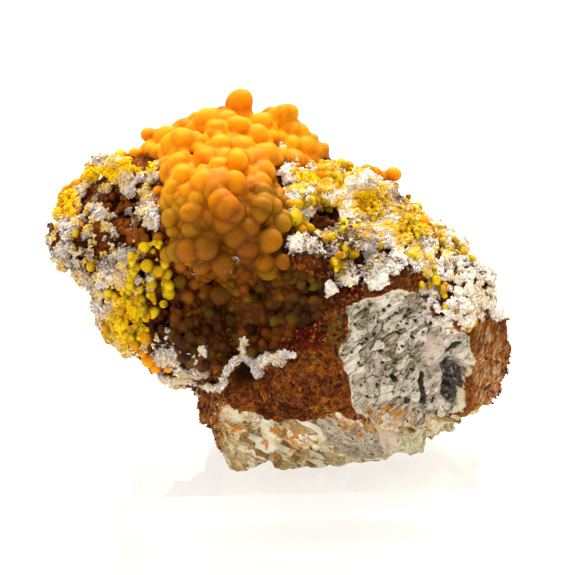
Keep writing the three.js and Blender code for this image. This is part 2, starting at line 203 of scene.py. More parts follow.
CLUSTERS = {
    "mimetite_top_left_rim": [
        (-22.9, 17.9, 1.0), (-20.9, 18.3, 0.9), (-24.4, 16.9, 0.8), (-21.9, 17.2, 0.8),
    ],
    "mimetite_left_rim": [
        (-30.5, 12.2, 1.2), (-31.2, 10.0, 1.0), (-28.8, 14.0, 1.0), (-29.8, 10.9, 0.9),
        (-30.2, 13.5, 0.7), (-27.6, 15.0, 0.8), (-31.3, 8.3, 0.7), (-29.0, 12.3, 0.8),
    ],
    "mimetite_lower_left": [
        (-16.2, -0.8, 1.1), (-18.2, -3.5, 0.9), (-19.4, -6.9, 0.9), (-23.6, -4.5, 1.0),
        (-22.3, -6.5, 1.1), (-20.2, -1.7, 1.1), (-21.6, -3.8, 1.1), (-20.9, -8.2, 0.8),
        (-24.4, -2.4, 0.9), (-23.1, -0.9, 0.8), (-18.6, 0.4, 0.8), (-24.0, -6.0, 0.7),
    ],
    "mimetite_lip": [
        (-19.0, -9.9, 1.1), (-16.9, -12.3, 0.9), (-15.3, -13.2, 0.8), (-18.0, -11.0, 0.8),
        (-17.6, -9.4, 0.8), (-19.9, -8.9, 0.7), (-14.2, -13.4, 0.6), (-16.3, -11.0, 0.7),
    ],
    "mimetite_ridge": [
        (9.7, 15.8, 0.8), (10.9, 16.0, 1.0), (12.1, 15.7, 0.8), (13.2, 15.3, 0.7), (14.5, 15.5, 1.1),
        (8.7, 15.3, 0.6), (11.6, 14.9, 0.6),
    ],
    "mimetite_upper_flank": [
        (3.4, 15.1, 1.0), (4.7, 15.0, 1.3), (5.8, 14.5, 1.1), (6.8, 13.8, 0.8), (2.4, 15.6, 0.7),
        (5.2, 13.5, 0.7),
    ],
    "mimetite_middle_flank": [
        (7.9, 13.4, 0.8), (8.8, 12.1, 1.0), (10.3, 11.3, 1.1), (11.7, 12.0, 0.8), (12.4, 10.5, 1.1),
        (12.3, 13.5, 0.7), (16.0, 11.6, 0.8), (14.1, 10.0, 0.7), (9.4, 13.0, 0.7), (11.2, 10.2, 0.7),
    ],
    "mimetite_right_shoulder": [
        (18.2, 8.6, 1.3), (19.5, 7.6, 0.8), (17.1, 9.0, 0.8), (17.6, 7.3, 0.8), (20.4, 6.9, 0.6),
    ],
    "mimetite_inner_flank": [
        (0.9, 13.1, 1.0), (1.0, 9.4, 1.1), (1.8, 7.8, 0.9), (3.9, 7.3, 0.8), (0.5, 11.2, 0.9),
    ],
    "mimetite_lower_flank": [(16.9, 3.9, 1.1), (15.6, 4.7, 0.8), (18.0, 3.1, 0.7), (14.6, 4.0, 0.6)],
}
YELLOW_CLUSTERS = (
    "mimetite_left_rim", "mimetite_lower_left", "mimetite_middle_flank", "mimetite_inner_flank",
    "mimetite_lower_flank", "mimetite_top_left_rim",
)
# Clusters painted as strongly lit: their painted light never drops low
BRIGHT_CLUSTERS = (
    "mimetite_lip", "mimetite_ridge", "mimetite_right_shoulder", "mimetite_upper_flank",
)

# Outlines in the front view, across and up: the broken pale face and the pale rock below
PALE_FACE = [
    (8.1, -2.2), (14.7, -0.4), (18.2, -0.9), (21.6, -4.7), (24.9, -6.8), (26.2, -10.4), (25.0, -13.0),
    (24.4, -16.9), (20.6, -18.8), (14.5, -20.3), (12.4, -19.4), (9.4, -17.3), (8.3, -11.6),
    (7.2, -9.0), (8.3, -6.0),
]
LOWER_ROCK = [
    (-9.3, -16.2), (-4.8, -17.5), (-1.0, -18.3), (4.7, -18.4), (6.8, -17.4), (11.5, -19.2),
    (17.5, -19.6), (21.0, -18.6), (28.0, -16.2), (30.0, -30.0), (-9.0, -32.0), (-9.4, -24.5),
]
LOWER_PLATE = [
    (3.4, -18.1), (7.0, -18.6), (12.4, -20.0), (13.0, -22.3), (11.6, -23.9), (8.6, -24.2), (5.1, -20.9),
]

# Round pits in the pale face, sunk and painted near-black as shadow: across, up and radius
PITS = [
    (13.8, -9.4, 0.4), (15.1, -13.0, 0.5), (16.8, -16.0, 0.5), (18.7, -16.0, 0.35), (13.7, -10.8, 0.3),
    (15.4, -11.0, 0.28), (12.4, -11.1, 0.26), (20.5, -15.9, 0.45), (11.2, -7.3, 0.3), (12.7, -6.8, 0.32),
    (10.5, -7.9, 0.26), (10.2, -10.8, 0.25), (12.7, -13.8, 0.3), (24.0, -13.1, 0.36), (23.8, -14.3, 0.42),
    (23.1, -15.7, 0.36), (9.6, -5.2, 0.25), (14.3, -12.0, 0.3), (16.3, -8.4, 0.25), (17.6, -11.6, 0.3),
    (11.4, -15.6, 0.25), (14.8, -16.9, 0.22), (9.3, -13.4, 0.22), (17.9, -7.0, 0.3), (18.9, -5.0, 0.3),
    (16.9, -4.0, 0.3), (15.4, -3.6, 0.28), (13.9, -3.2, 0.3), (15.9, -5.4, 0.24), (13.2, -4.9, 0.26),
    (14.6, -2.6, 0.26), (16.2, -2.9, 0.24), (17.8, -3.2, 0.28), (18.4, -4.3, 0.24), (14.6, -4.4, 0.22),
    (17.5, -5.2, 0.26), (16.2, -6.6, 0.22), (12.2, -2.4, 0.22), (19.6, -6.4, 0.3), (14.9, -6.1, 0.2),
]

# Dark gashes in it, sunk and painted near-black as shadow: two ends, and half the width
GASHES = [
    (19.0, -11.4, 19.3, -17.3, 0.4), (21.9, -10.2, 25.0, -7.4, 0.42), (9.0, -8.9, 12.3, -6.4, 0.1),
    (10.9, -13.2, 13.4, -11.3, 0.12), (12.4, -5.4, 18.2, -2.4, 0.12), (13.9, -14.9, 15.6, -12.6, 0.1),
    (17.2, -10.4, 18.6, -7.2, 0.16), (20.1, -5.4, 20.9, -4.3, 0.5), (10.0, -16.2, 12.9, -15.2, 0.1),
    (14.4, -7.5, 17.2, -5.7, 0.12), (9.6, -11.9, 11.3, -10.4, 0.08), (12.0, -9.8, 13.6, -8.5, 0.1),
    (8.9, -4.4, 11.9, -2.7, 0.09), (15.8, -14.7, 18.0, -13.6, 0.1),
]

# Small patches in the front view: across, up, half width and half height
RED_PATCHES = [
    (8.7, 0.2, 1.6, 1.2), (21.6, -0.8, 0.9, 1.0), (4.6, -6.0, 3.2, 1.9), (4.4, -0.9, 0.8, 0.7),
    (22.8, -4.0, 2.7, 0.8), (0.5, -8.2, 1.4, 0.8), (2.8, -7.4, 3.0, 1.4),
]
OLIVE_PATCHES = [(6.6, -6.4, 1.3, 3.4), (3.4, -9.9, 1.5, 0.9)]
PINK_PATCHES = [(20.6, -9.3, 1.9, 3.6), (13.6, -21.2, 3.4, 2.2)]
# Recesses sunk into the pale face and painted dark as shade
SHADED_RECESS_PATCHES = [(23.7, -13.2, 1.7, 4.2), (7.6, -2.9, 0.9, 0.8)]
OCHRE_PATCHES = [
    (-9.6, -18.5, 1.6, 4.5), (1.0, -21.0, 2.4, 2.2), (13.5, -18.4, 5.4, 2.0), (27.8, -11.0, 2.2, 8.5),
]
# Holes sunk into the rock and painted near-black as shadow, with no druse in them
SHADOWED_HOLES = [
    (-28.0, 6.2, 0.9, 0.9), (-31.8, 8.4, 0.5, 1.2), (-23.0, 11.5, 2.3, 1.7), (-21.0, 7.2, 2.0, 1.9),
    (5.0, 8.9, 2.1, 1.9), (-5.9, -12.0, 2.2, 1.7), (-20.3, 2.3, 0.8, 0.7), (-17.6, 13.8, 1.5, 0.5),
]
BARE_PATCHES = [
    (16.4, 1.0, 2.7, 1.3), (5.0, -1.6, 2.2, 1.6), (9.4, 0.0, 1.7, 1.1), (12.9, 4.6, 1.0, 0.9),
    (9.3, 3.7, 1.4, 1.4), (5.2, 3.2, 1.6, 1.2), (21.4, -1.0, 1.0, 1.0),
]
DIRTY_PATCHES = [
    (6.3, 5.6, 6.0, 5.8), (-21.8, 7.5, 3.4, 3.4), (13.0, 2.8, 6.4, 3.0), (16.5, 13.0, 3.0, 2.0),
    (-27.5, 3.5, 3.0, 3.0),
]
MAUVE_PATCHES = [(-6.0, -11.0, 9.0, 3.6), (8.0, 5.0, 6.5, 4.5), (14.0, 12.6, 4.0, 2.6)]
# Druse with less dirt, and less painted shade in its lows
CLEAN_PATCHES = [(22.6, -1.4, 5.4, 5.0), (3.2, 10.6, 3.4, 1.2)]
DUSTY_PATCHES = [
    (-30.3, 12.2, 2.4, 3.2), (-25.5, 15.6, 4.0, 1.5), (-20.5, 16.8, 4.0, 1.6), (10.9, 12.0, 3.0, 2.4),
    (17.4, 8.2, 3.4, 1.8), (-22.5, -1.2, 2.4, 1.6), (3.2, 15.2, 3.0, 1.2), (5.6, 10.8, 1.6, 1.0),
    (-21.2, -5.0, 4.6, 5.0),
]
# Where druse is heaped higher
HEAPS = [(11.0, 13.2, 4.0, 2.2), (-23.5, 15.8, 4.5, 1.8)]
# Hollows between the crusts that are full of amber-brown balls, where the rock is painted near-black as
# shadow
CAVITIES = [
    (-23.0, 11.4, 2.4, 1.8), (-21.0, 7.0, 2.2, 2.1), (4.6, 8.3, 1.6, 1.4), (-17.6, -6.5, 1.6, 4.0),
    (-16.2, -1.8, 1.4, 3.4),
]

# The rock's stains, with grey recesses painted dark as shade among them: patches, and the depths in them
# where a stain starts and is full
ROCK_STAINS = {
    "red": (RED_PATCHES, -0.2, 0.2),
    "olive": (OLIVE_PATCHES, 0.0, 0.4),
    "pink": (PINK_PATCHES, 0.0, 0.4),
    "grey": (SHADED_RECESS_PATCHES, 0.0, 0.3),
    "ochre": (OCHRE_PATCHES, -0.2, 0.5),
}
# How steeply the edge of the greenish foot climbs to the right
FOOT_SLOPE = 0.276

# Bits of druse outside the large crusts, the same way
WHITE_PATCHES = [
    (3.1, 10.9, 3.2, 1.2), (12.4, 0.9, 1.7, 1.3), (8.4, 1.7, 1.3, 0.9), (6.3, 0.0, 1.0, 0.9),
    (19.6, -0.3, 1.0, 0.9), (3.0, 5.6, 3.2, 1.2), (-16.8, -7.7, 1.7, 1.8),
    (-12.1, -9.1, 1.4, 1.1), (-14.8, -11.8, 2.4, 1.3), (-22.3, 1.4, 1.6, 1.9), (-8.2, 21.8, 0.9, 0.7),
    (0.2, 18.6, 1.8, 1.0), (14.5, 3.5, 3.0, 1.8), (7.5, 6.5, 2.6, 2.0), (-17.5, 15.6, 2.5, 1.2),
    (10.0, 3.8, 2.6, 1.4), (-19.4, 9.6, 1.8, 2.2),
]

# Small white tufts that stand proud: across, up, half width, half height and how far out
WHITE_TUFTS = [
    (0.9, 18.4, 1.4, 1.0, 5.2), (-12.1, -9.2, 0.9, 0.8, 1.7),
    (-6.1, -8.3, 0.2, 1.0, 1.2), (28.6, -3.6, 0.9, 0.9, 0.6), (8.4, 1.4, 1.1, 0.8, 1.3),
    (6.1, 0.0, 0.8, 0.7, 1.1), (12.3, 0.9, 1.5, 1.0, 1.2), (-22.3, 1.3, 1.3, 1.6, 1.2),
    (0.4, 15.7, 1.7, 1.1, 1.6), (2.0, 6.2, 1.8, 0.9, 1.0),
]

# White druse on the far side, as zones
BACK_DRUSE_ZONES = [
    ((9, 15, 3), (6, 6, 3.6)), ((-21, 9, 1), (5, 7, 5)), ((0, 17, -8), (6, 5, 2.4)), ((21, 9, -4), (4, 6, 5)),
]

# The curled rim of druse under the vug, along its length in the front view
CURL = [
    (-13.2, -12.6), (-11.6, -13.4), (-9.5, -13.8), (-8.7, -12.8), (-8.4, -11.6), (-7.7, -10.4),
    (-6.6, -9.7), (-5.5, -9.7), (-4.6, -10.5), (-4.0, -12.2), (-3.5, -10.6), (-2.7, -9.6), (-1.6, -9.2),
    (-0.2, -9.1), (0.8, -9.3),
]
CURL_THICKNESS = 0.24

# Sprays of white needles: across, up, how many and how long
SPRAYS = [(-6.9, 2.4, 26, 1.9), (-10.2, 1.6, 18, 1.3), (-5.6, 3.4, 12, 1.4)]
NEEDLE_RADIUS = 0.04

# Colours, as red, green and blue from 0 to 255
RUST_DARK = (48, 14, 2)
RUST = (110, 50, 9)
RUST_LIGHT = (168, 92, 20)
RUST_PALE = (202, 146, 84)
OCHRE = (206, 128, 34)
PALE_DARK = (78, 60, 40)
PALE_SHADE = (152, 134, 108)
PALE = (204, 190, 166)
PALE_LIGHT = (238, 226, 204)
BEIGE_SHADE = (128, 96, 52)
BEIGE = (196, 166, 112)
BEIGE_LIGHT = (226, 206, 160)
BEIGE_WHITE = (240, 232, 208)
PLATE_GREY = (146, 128, 98)
FOOT_GREEN = (232, 228, 188)
# Near-black painted as shadow in pits, gashes and recesses, also the plate's dark dashes
SHADOW_AND_MARK_BLACK = (34, 28, 24)
RED_BROWN = (116, 12, 6)
OLIVE = (150, 138, 24)
OLIVE_DARK = (116, 102, 30)
PINKISH = (226, 200, 184)
# Slate: the lighter end of the shade painted in recesses
SLATE = (92, 86, 76)
# Near-black painted as shadow in holes, also the dark flecks in the red stains
SHADOW_AND_STAIN_DARK = (28, 7, 2)
# The wax's tones by its painted light, from deep shade to full light on top, partly its own darker and
# lighter amber
AMBER_BLACK = (52, 16, 2)
AMBER_DEEP = (108, 51, 3)
AMBER_DARK = (130, 64, 3)
AMBER = (150, 80, 3)
GOLDEN = (170, 92, 3)
ORANGE = (228, 138, 3)
ORANGE_TOP = (244, 160, 4)
YELLOW = (250, 212, 18)
GOLDEN_YELLOW = (226, 158, 10)
# Painted shade where balls meet: dark brown in dim places, deep orange in lit ones
CREASE_SHADE_BROWN = (44, 11, 0)
CREASE_SHADE_ORANGE = (204, 84, 1)
SNOW = (255, 249, 236)
DRUSE_GREY = (206, 188, 170)
DRUSE_MAUVE = (140, 108, 98)
DRUSE_DIRT = (104, 68, 38)
YELLOW_DUST = (246, 202, 4)
RIM_CREAM = (236, 220, 178)
FLOOR_WHITE = (200, 200, 199)


# Numbers that vary over space

def smooth_step(low, high, value):
    share = np.clip((value - low) / (high - low), 0, 1)
    return share * share * (3 - 2 * share)


def spread_directions(count):
    """Evenly spread directions on a sphere."""
    index = np.arange(count)
    z = 1 - (2 * index + 1) / count
    turn = index * math.pi * (3 - math.sqrt(5))
    across = np.sqrt(1 - z * z)
    return np.stack([across * np.cos(turn), across * np.sin(turn), z], axis=1)


def scatter(index, salt):
    """A number from 0 to 1 that looks random but is the same each time."""
    value = np.sin(index * 12.9898 + salt * 78.233) * 43758.5453
    return value - np.floor(value)


def waves(points, count, length, height):
    index = np.arange(count)
    pitch = 2 * np.pi / (length * (0.75 + 0.5 * scatter(index, length)))
    phase = 2 * np.pi * scatter(index, height)
    total = np.sin(points @ spread_directions(count).T * pitch + phase).sum(axis=1)
    return height * total / math.sqrt(count)


def cell_number(cell, seed):
    """A number from 0 to 1 for each whole-numbered cell of space."""
    x, y, z = (cell[:, k].astype(np.uint32) for k in range(3))
    mixed = x * np.uint32(73856093) ^ y * np.uint32(19349663) ^ z * np.uint32(83492791)
    mixed = (mixed ^ np.uint32(seed * 7919 + 17)) * np.uint32(2654435769)
    mixed = (mixed ^ (mixed >> np.uint32(15))) * np.uint32(2246822519)
    mixed = mixed ^ (mixed >> np.uint32(13))
    return (mixed & np.uint32(0xFFFF)) / 65535.0


def blotches(points, size, seed, octaves=1):
    """Smooth unevenness between 0 and 1, with humps of that size and finer ones on them."""
    total = np.zeros(len(points))
    weights = 0.0
    for octave in range(octaves):
        place = points / (size * 0.5 ** octave)
        low = np.floor(place).astype(np.int64)
        share = place - low
        share = share * share * (3 - 2 * share)
        layer = np.zeros(len(points))
        for step in itertools.product((0, 1), repeat=3):
            weight = np.prod(np.where(np.array(step), share, 1 - share), axis=1)
            layer += weight * cell_number(low + step, seed + octave)
        total += layer * 0.5 ** octave
        weights += 0.5 ** octave
    return total / weights


def pebbles(points, size, seed):
    """The offset from the nearest of many scattered spots and its length, both in spacings,
    the next nearest's distance, and a number of the nearest spot's own."""
    place = points / size
    low = np.floor(place).astype(np.int64)
    nearest = np.full(len(points), 9.0)
    second = np.full(len(points), 9.0)
    own = np.zeros(len(points))
    offset = np.zeros((len(points), 3))
    for step in itertools.product((-1, 0, 1), repeat=3):
        cell = low + step
        spot = cell + np.stack([cell_number(cell, seed + k) for k in range(3)], axis=1)
        away = place - spot
        distance = np.linalg.norm(away, axis=1)
        closer = distance < nearest
        second = np.where(closer, nearest, np.minimum(second, distance))
        nearest = np.where(closer, distance, nearest)
        own = np.where(closer, cell_number(cell, seed + 5), own)
        offset[closer] = away[closer]
    return offset, nearest, second, own


def chipped(points, size, seed):
    """Flat chips at slants of their own, from about -1 to 1."""
    offset, _, _, own = pebbles(points, size, seed)
    lean = np.stack([scatter(own * 917, salt) - 0.5 for salt in (1, 2, 3)], axis=1) * 2.4
    return (offset * lean).sum(axis=1)


# The rock's form

def unit(vector):
    vector = np.asarray(vector, float)
    return vector / np.linalg.norm(vector)


def outline_radius(angle):
    count = len(OUTLINE)
    place = (angle / (2 * np.pi) * count + count) % count
    first = np.floor(place).astype(int)
    t = place - first
    a, b, c, d = (OUTLINE[(first + step) % count] for step in (-1, 0, 1, 2))
    bend = 2 * a - 5 * b + 4 * c - d
    twist = 3 * b - a - 3 * c + d
    return 0.5 * (2 * b + (c - a) * t + bend * t ** 2 + twist * t ** 3)


def rock_radius(direction):
    """How far the rock reaches from its centre in each direction."""
    x, y, z = direction.T
    outline = outline_radius(np.arctan2(z, x))
    reach = np.where(y < 0, REACH_FRONT, REACH_BACK)
    squared = (np.hypot(x, z) / outline) ** SQUARENESS + (np.abs(y) / reach) ** SQUARENESS
    inverse = squared ** (BREAK_SHARPNESS / SQUARENESS)
    for faces, distance in BREAKS:
        inverse += (np.maximum(direction @ unit(faces), 0) / distance) ** BREAK_SHARPNESS
    radius = inverse ** (-1 / BREAK_SHARPNESS)
    for at, rise, width in RELIEF:
        angle = np.arccos(np.clip(direction @ unit(at), -1, 1))
        away = angle * np.linalg.norm(at) / width
        radius = radius + rise * np.exp(-away * away)
    points = direction * radius[:, None]
    return radius + waves(points, *BROAD_WAVES) + waves(points, *FINE_WAVES)


def outwards(points):
    return points / np.linalg.norm(points, axis=1, keepdims=True)


def on_rock(points):
    """Each point moved straight out from, or in towards, the centre to the rock's surface."""
    direction = outwards(points)
    return direction * rock_radius(direction)[:, None]


def in_view(points):
    """Where points appear in the front view: across and up, in mm at the centre's distance."""
    shrink = VIEW_DISTANCE / (VIEW_DISTANCE + points[:, 1])
    return points[:, [0, 2]] * shrink[:, None]


def at_depth(view, depth):
    grow = (VIEW_DISTANCE + depth) / VIEW_DISTANCE
    return np.stack([view[:, 0] * grow, depth, view[:, 1] * grow], axis=1)


def seen_on_rock(view):
    """The rock's points that show at these places of the front view, or the nearest ones."""
    view = np.asarray(view, float)
    near = np.full(len(view), -30.0)
    far = np.zeros(len(view))
    for _ in range(14):
        middle = (near + far) / 2
        points = at_depth(view, middle)
        outside = np.linalg.norm(points, axis=1) > rock_radius(outwards(points))
        near = np.where(outside, middle, near)
        far = np.where(outside, far, middle)
    points = at_depth(view, far)
    beyond = np.linalg.norm(points, axis=1) > rock_radius(outwards(points)) + 0.05
    points[beyond] = on_rock(points[beyond])
    return points


def zone_depth(zones, points):
    """How deep inside the nearest ellipsoid zone each point is: 1 at the centre, 0 at the edge."""
    depths = [1 - np.linalg.norm((points - at) / np.array(reach), axis=1) for at, reach in zones]
    return np.max(depths, axis=0)


def beside_line(view, start, run):
    """How far along a straight line each place is, from 0 to 1, and its distance from the line."""
    along = np.clip((view - start) @ run / (run @ run), 0, 1)
    return along, np.linalg.norm(view - start - along[:, None] * run, axis=1)


def outline_depth(view, outline):
    """How deep inside an outline of the front view each place is, in mm, below 0 outside it."""
    corners = np.array(outline)
    distance = np.full(len(view), np.inf)
    inside = np.zeros(len(view), bool)
    for start, end in zip(corners, np.roll(corners, -1, axis=0)):
        side = end - start
        distance = np.minimum(distance, beside_line(view, start, side)[1])
        straddles = (start[1] > view[:, 1]) != (end[1] > view[:, 1])
        crossing = start[0] + (view[:, 1] - start[1]) * side[0] / (side[1] or 1e-9)
        inside ^= straddles & (view[:, 0] < crossing)
    return np.where(inside, distance, -distance)


def patch_depth(view, patches):
    """The same for elliptic patches, from 1 at a centre to 0 at its edge and below outside."""
    depths = [
        1 - np.hypot((view[:, 0] - x) / wide, (view[:, 1] - z) / high) for x, z, wide, high in patches
    ]
    return np.max(depths, axis=0)


# Meshes

def to_world(points):
    return (ROCK_CENTRE + points @ TURN.T) * MM


def add_object(name, data):
    thing = bpy.data.objects.new(name, data)
    bpy.context.scene.collection.objects.link(thing)
    return thing


def make_mesh(name, points, faces, masks=None, smooth=True):
    """A mesh object from points already in metres and faces of one size, with its masks."""
    faces = np.asarray(faces)
    mesh = bpy.data.meshes.new(name)
    mesh.from_pydata(points.tolist(), [], faces.tolist())
    for mask, values in (masks or {}).items():
        layer = mesh.attributes.new(mask, "FLOAT", "POINT")
        layer.data.foreach_set("value", np.asarray(values, np.float32))
    mesh.polygons.foreach_set("use_smooth", np.full(len(mesh.polygons), smooth))
    mesh.update()
    return add_object(name, mesh)


def set_piece(piece, finish, slot, *nodes):
    """A finished piece rides on the specimen's body and stands for its solids."""
    piece.data.materials.append(finish)
    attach(piece, BODY)
    if nodes:
        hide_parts(*nodes)


def cube_sphere(cuts, forward):
    """Directions and quads of a ball of squares, packed closer together towards the front."""
    steps = np.tan(np.linspace(-math.pi / 4, math.pi / 4, cuts + 1))
    u, v = np.meshgrid(steps, steps, indexing="ij")
    corner = np.arange((cuts + 1) ** 2).reshape(cuts + 1, cuts + 1)
    quads = np.stack([corner[:-1, :-1], corner[1:, :-1], corner[1:, 1:], corner[:-1, 1:]], -1).reshape(-1, 4)
    points, faces = [], []
    for axis, sign in itertools.product(range(3), (-1, 1)):
        side = np.empty((len(corner.ravel()), 3))
        side[:, axis] = sign
        side[:, (axis + 1) % 3] = u.ravel()
        side[:, (axis + 2) % 3] = v.ravel()
        faces.append((quads if sign > 0 else quads[:, ::-1]) + len(points) * len(side))
        points.append(side)
    directions = outwards(np.concatenate(points))
    _, first, where = np.unique(np.round(directions, 6), axis=0, return_index=True, return_inverse=True)
    directions = outwards(directions[first] + (0, -forward, 0))
    return directions, where.ravel()[np.concatenate(faces)]


def ball_template(subdivisions):
    shape = bmesh.new()
    bmesh.ops.create_icosphere(shape, subdivisions=subdivisions, radius=1)
    points = np.array([v.co for v in shape.verts])
    faces = np.array([[v.index for v in face.verts] for face in shape.faces])
    shape.free()
    return points, faces


def copies(template, centres, sizes, turns=None):
    """Copies of a template at each centre, stretched by sizes and turned."""
    points, faces = template
    stretched = points[None] * sizes[:, None, :]
    if turns is not None:
        stretched = np.einsum("nij,nkj->nki", turns, stretched)
    placed = (stretched + centres[:, None]).reshape(-1, 3)
    offsets = np.arange(len(centres)) * len(points)
    return placed, (faces[None] + offsets[:, None, None]).reshape(-1, faces.shape[1])


def random_turns(count, dice):
    """Random rotations, as matrices."""
    w, x, y, z = outwards(dice.normal(size=(count, 4))).T
    rows = [
        [1 - 2 * (y * y + z * z), 2 * (x * y - z * w), 2 * (x * z + y * w)],
        [2 * (x * y + z * w), 1 - 2 * (x * x + z * z), 2 * (y * z - x * w)],
        [2 * (x * z - y * w), 2 * (y * z + x * w), 1 - 2 * (x * x + y * y)],
    ]
    return np.array(rows).transpose(2, 0, 1)


def remeshed(points, faces, voxel):
    """One closed skin round overlapping closed shapes, in quads."""
    rough = make_mesh("rough", points, faces)
    joiner = rough.modifiers.new("join", "REMESH")
    joiner.mode = "VOXEL"
    joiner.voxel_size = voxel
    graph = bpy.context.evaluated_depsgraph_get()
    result = rough.evaluated_get(graph).to_mesh()
    co = np.empty(len(result.vertices) * 3)
    result.vertices.foreach_get("co", co)
    sides = np.empty(len(result.polygons), int)
    result.polygons.foreach_get("loop_total", sides)
    corners = np.empty(len(result.loops), int)
    result.loops.foreach_get("vertex_index", corners)
    rough.evaluated_get(graph).to_mesh_clear()
    mesh = rough.data
    bpy.data.objects.remove(rough)
    bpy.data.meshes.remove(mesh)
    assert (sides == 4).all()
    return co.reshape(-1, 3), corners.reshape(-1, 4)


def vertex_normals(points, quads):
    across = np.cross(points[quads[:, 2]] - points[quads[:, 0]], points[quads[:, 3]] - points[quads[:, 1]])
    normals = np.zeros_like(points)
    for corner in range(4):
        np.add.at(normals, quads[:, corner], across)
    return outwards(normals + 1e-12)


def softened(points, quads, rounds):
    """Creases blurred by moving each point half way to its neighbours' middle."""
    starts = quads.ravel()
    ends = np.roll(quads, -1, axis=1).ravel()
    count = np.bincount(starts, minlength=len(points)) + np.bincount(ends, minlength=len(points))
    for _ in range(rounds):
        total = np.stack([
            np.bincount(starts, points[ends, k], len(points))
            + np.bincount(ends, points[starts, k], len(points))
            for k in range(3)
        ], axis=1)
        points = (points + total / count[:, None]) / 2
    return points


def nearest_balls(points, centres, radii):
    """For each point, the nearest ball's index and how much farther off the next ball is."""
    index = np.empty(len(points), int)
    margin = np.empty(len(points))
    for start in range(0, len(points), 8000):
        part = slice(start, start + 8000)
        away = np.linalg.norm(points[part, None] - centres[None], axis=2) - radii
        two = np.partition(away, 1, axis=1)[:, :2]
        index[part] = away.argmin(axis=1)
        margin[part] = two[:, 1] - two[:, 0]
    return index, margin


# Mimetite

def spots_where(depth_at, spacing, dice, least=0.0):
    """Evenly scattered points of the rock where a depth is above the least, with that depth."""
    count = int(4 * math.pi * (MEAN_RADIUS / spacing) ** 2)
    directions = spread_directions(count) + dice.normal(size=(count, 3)) * spacing / MEAN_RADIUS * 0.3
    points = on_rock(directions)
    depth = depth_at(points)
    inside = depth > least
    return points[inside], depth[inside]


def spots_in(zones, spacing, dice, least=0.0):
    return spots_where(lambda points: zone_depth(zones, points), spacing, dice, least)


def depth_in_patches(points, patches):
    return np.where(points[:, 1] > 1, -1, patch_depth(in_view(points), patches))


def crust_balls(zones, spacing, smallest, largest, thick, dice):
    """Balls all over the zones, mostly sunk in a crust of that thickness."""
    points, depth = spots_in(zones, spacing, dice)
    size = blotches(points, 4.0, 31) * 0.6 + dice.random(len(points)) * 0.4
    radii = smallest + (largest - smallest) * np.clip(size, 0, 1)
    rise = thick * np.minimum(1, depth / CRUST_EDGE) - 0.7 * radii + 0.4 * dice.random(len(points))
    return points + outwards(points) * rise[:, None], radii


def seen_balls(listed, proud):
    """Balls where the front view shows them, with a smaller one under each that stands clear."""
    listed = np.array(listed)
    radii = listed[:, 2]
    surface = seen_on_rock(listed[:, :2])
    lift = proud * radii * (0.6 + 0.8 * scatter(np.round(listed[:, 1]), 3))
    raised = surface + outwards(surface) * lift[:, None]
    centres = at_depth(listed[:, :2], raised[:, 1])
    feet = on_rock(centres)
    clear = np.linalg.norm(centres - feet, axis=1) > 0.45 * radii
    under = centres[clear] * 0.45 + feet[clear] * 0.55
    return np.concatenate([centres, under]), np.concatenate([radii, radii[clear] * 0.8])


def rolls(listed, proud):
    """Long merged balls where the front view shows them, each as three balls in a row."""
    across, up, half_length, radius, slant = np.array(listed).T
    slant = np.radians(slant)
    run = (half_length - radius)[:, None] * np.stack([np.cos(slant), np.sin(slant)], 1)
    middle = np.stack([across, up], axis=1)
    rows = [
        np.column_stack([middle + run * step, radius * (1 - 0.08 * abs(step))]) for step in (-1, 0, 1)
    ]
    return seen_balls(np.concatenate(rows), proud)


def away_from(balls, others, share):
    """Those balls whose middles lie outside the others, by that share of their own radius."""
    centres, radii = balls
    other_centres, other_radii = others
    gap = np.linalg.norm(centres[:, None] - other_centres[None], axis=2) - other_radii
    kept = gap.min(axis=1) > share * radii
    return centres[kept], radii[kept]


def ball_mass(centres, radii, voxel, dice):
    """Balls grown together: one skin round them all, slightly lumpy."""
    stretch = 1 + 0.08 * dice.normal(size=(len(radii), 3)).clip(-1.5, 1.5)
    template = ball_template(3)
    points, faces = copies(template, centres, radii[:, None] * stretch, random_turns(len(radii), dice))
    points, quads = remeshed(points, faces, voxel)
    normals = vertex_normals(points, quads)
    lumps = blotches(points, 0.9, 51, 2) - 0.5
    points = points + normals * (lumps * 0.14)[:, None]
    return softened(points, quads, 3), quads


def ball_masks(points, centres, radii, yellow, bright, patchy, dim):
    """How each place of a mass of balls looks: its ball's own tone, the painted shade where balls meet and
    down their sides, how much light the place gets in the front view, painted into its colour, and how yellow
    the ball is. Bright is the least light, patchy its unevenness, and dim what is taken off it."""
    index, margin = nearest_balls(points, centres, radii)
    own_radius = radii[index]
    facing = ((points - centres[index]) * outwards(points)).sum(axis=1) / own_radius
    view = in_view(points)
    front = smooth_step(3, -4, points[:, 1])
    height = view[:, 1] - 0.22 * (view[:, 0] + 8)
    light = np.clip((height + 4) / 24, 0, 1) + patchy * (blotches(points, 3.0, 17, 2) - 0.5) - dim
    # Painted shade: down each ball's sides towards the rock, and where balls meet
    shade = smooth_step(0.45, -0.6, facing) * (1 - smooth_step(21, 24, view[:, 1]))
    crease = np.maximum(0.8 * np.exp(-margin / (0.3 * own_radius)), shade)
    light = light * front + np.clip(light, 0.5, 0.66) * (1 - front)
    return {
        "own_tone": scatter(index, 7),
        "crease": crease * (1 - 0.15 * smooth_step(13, 19, view[:, 1])),
        "light": np.maximum(light, bright),
        "yellow": np.clip(yellow[index] if np.ndim(yellow) else np.full(len(index), yellow), 0, 1),
    }


def mimetite_piece(name, centres, radii, voxel, yellow, bright, finish, dice, *nodes, patchy=0.0, dim=0.0):
    points, quads = ball_mass(centres, radii, voxel, dice)
    masks = ball_masks(points, centres, radii, yellow, bright, patchy, dim)
    set_piece(make_mesh(name, to_world(points), quads, masks), finish, SLOT_MIMETITE, *nodes)


def joined(*groups):
    return np.concatenate([g[0] for g in groups]), np.concatenate([g[1] for g in groups])


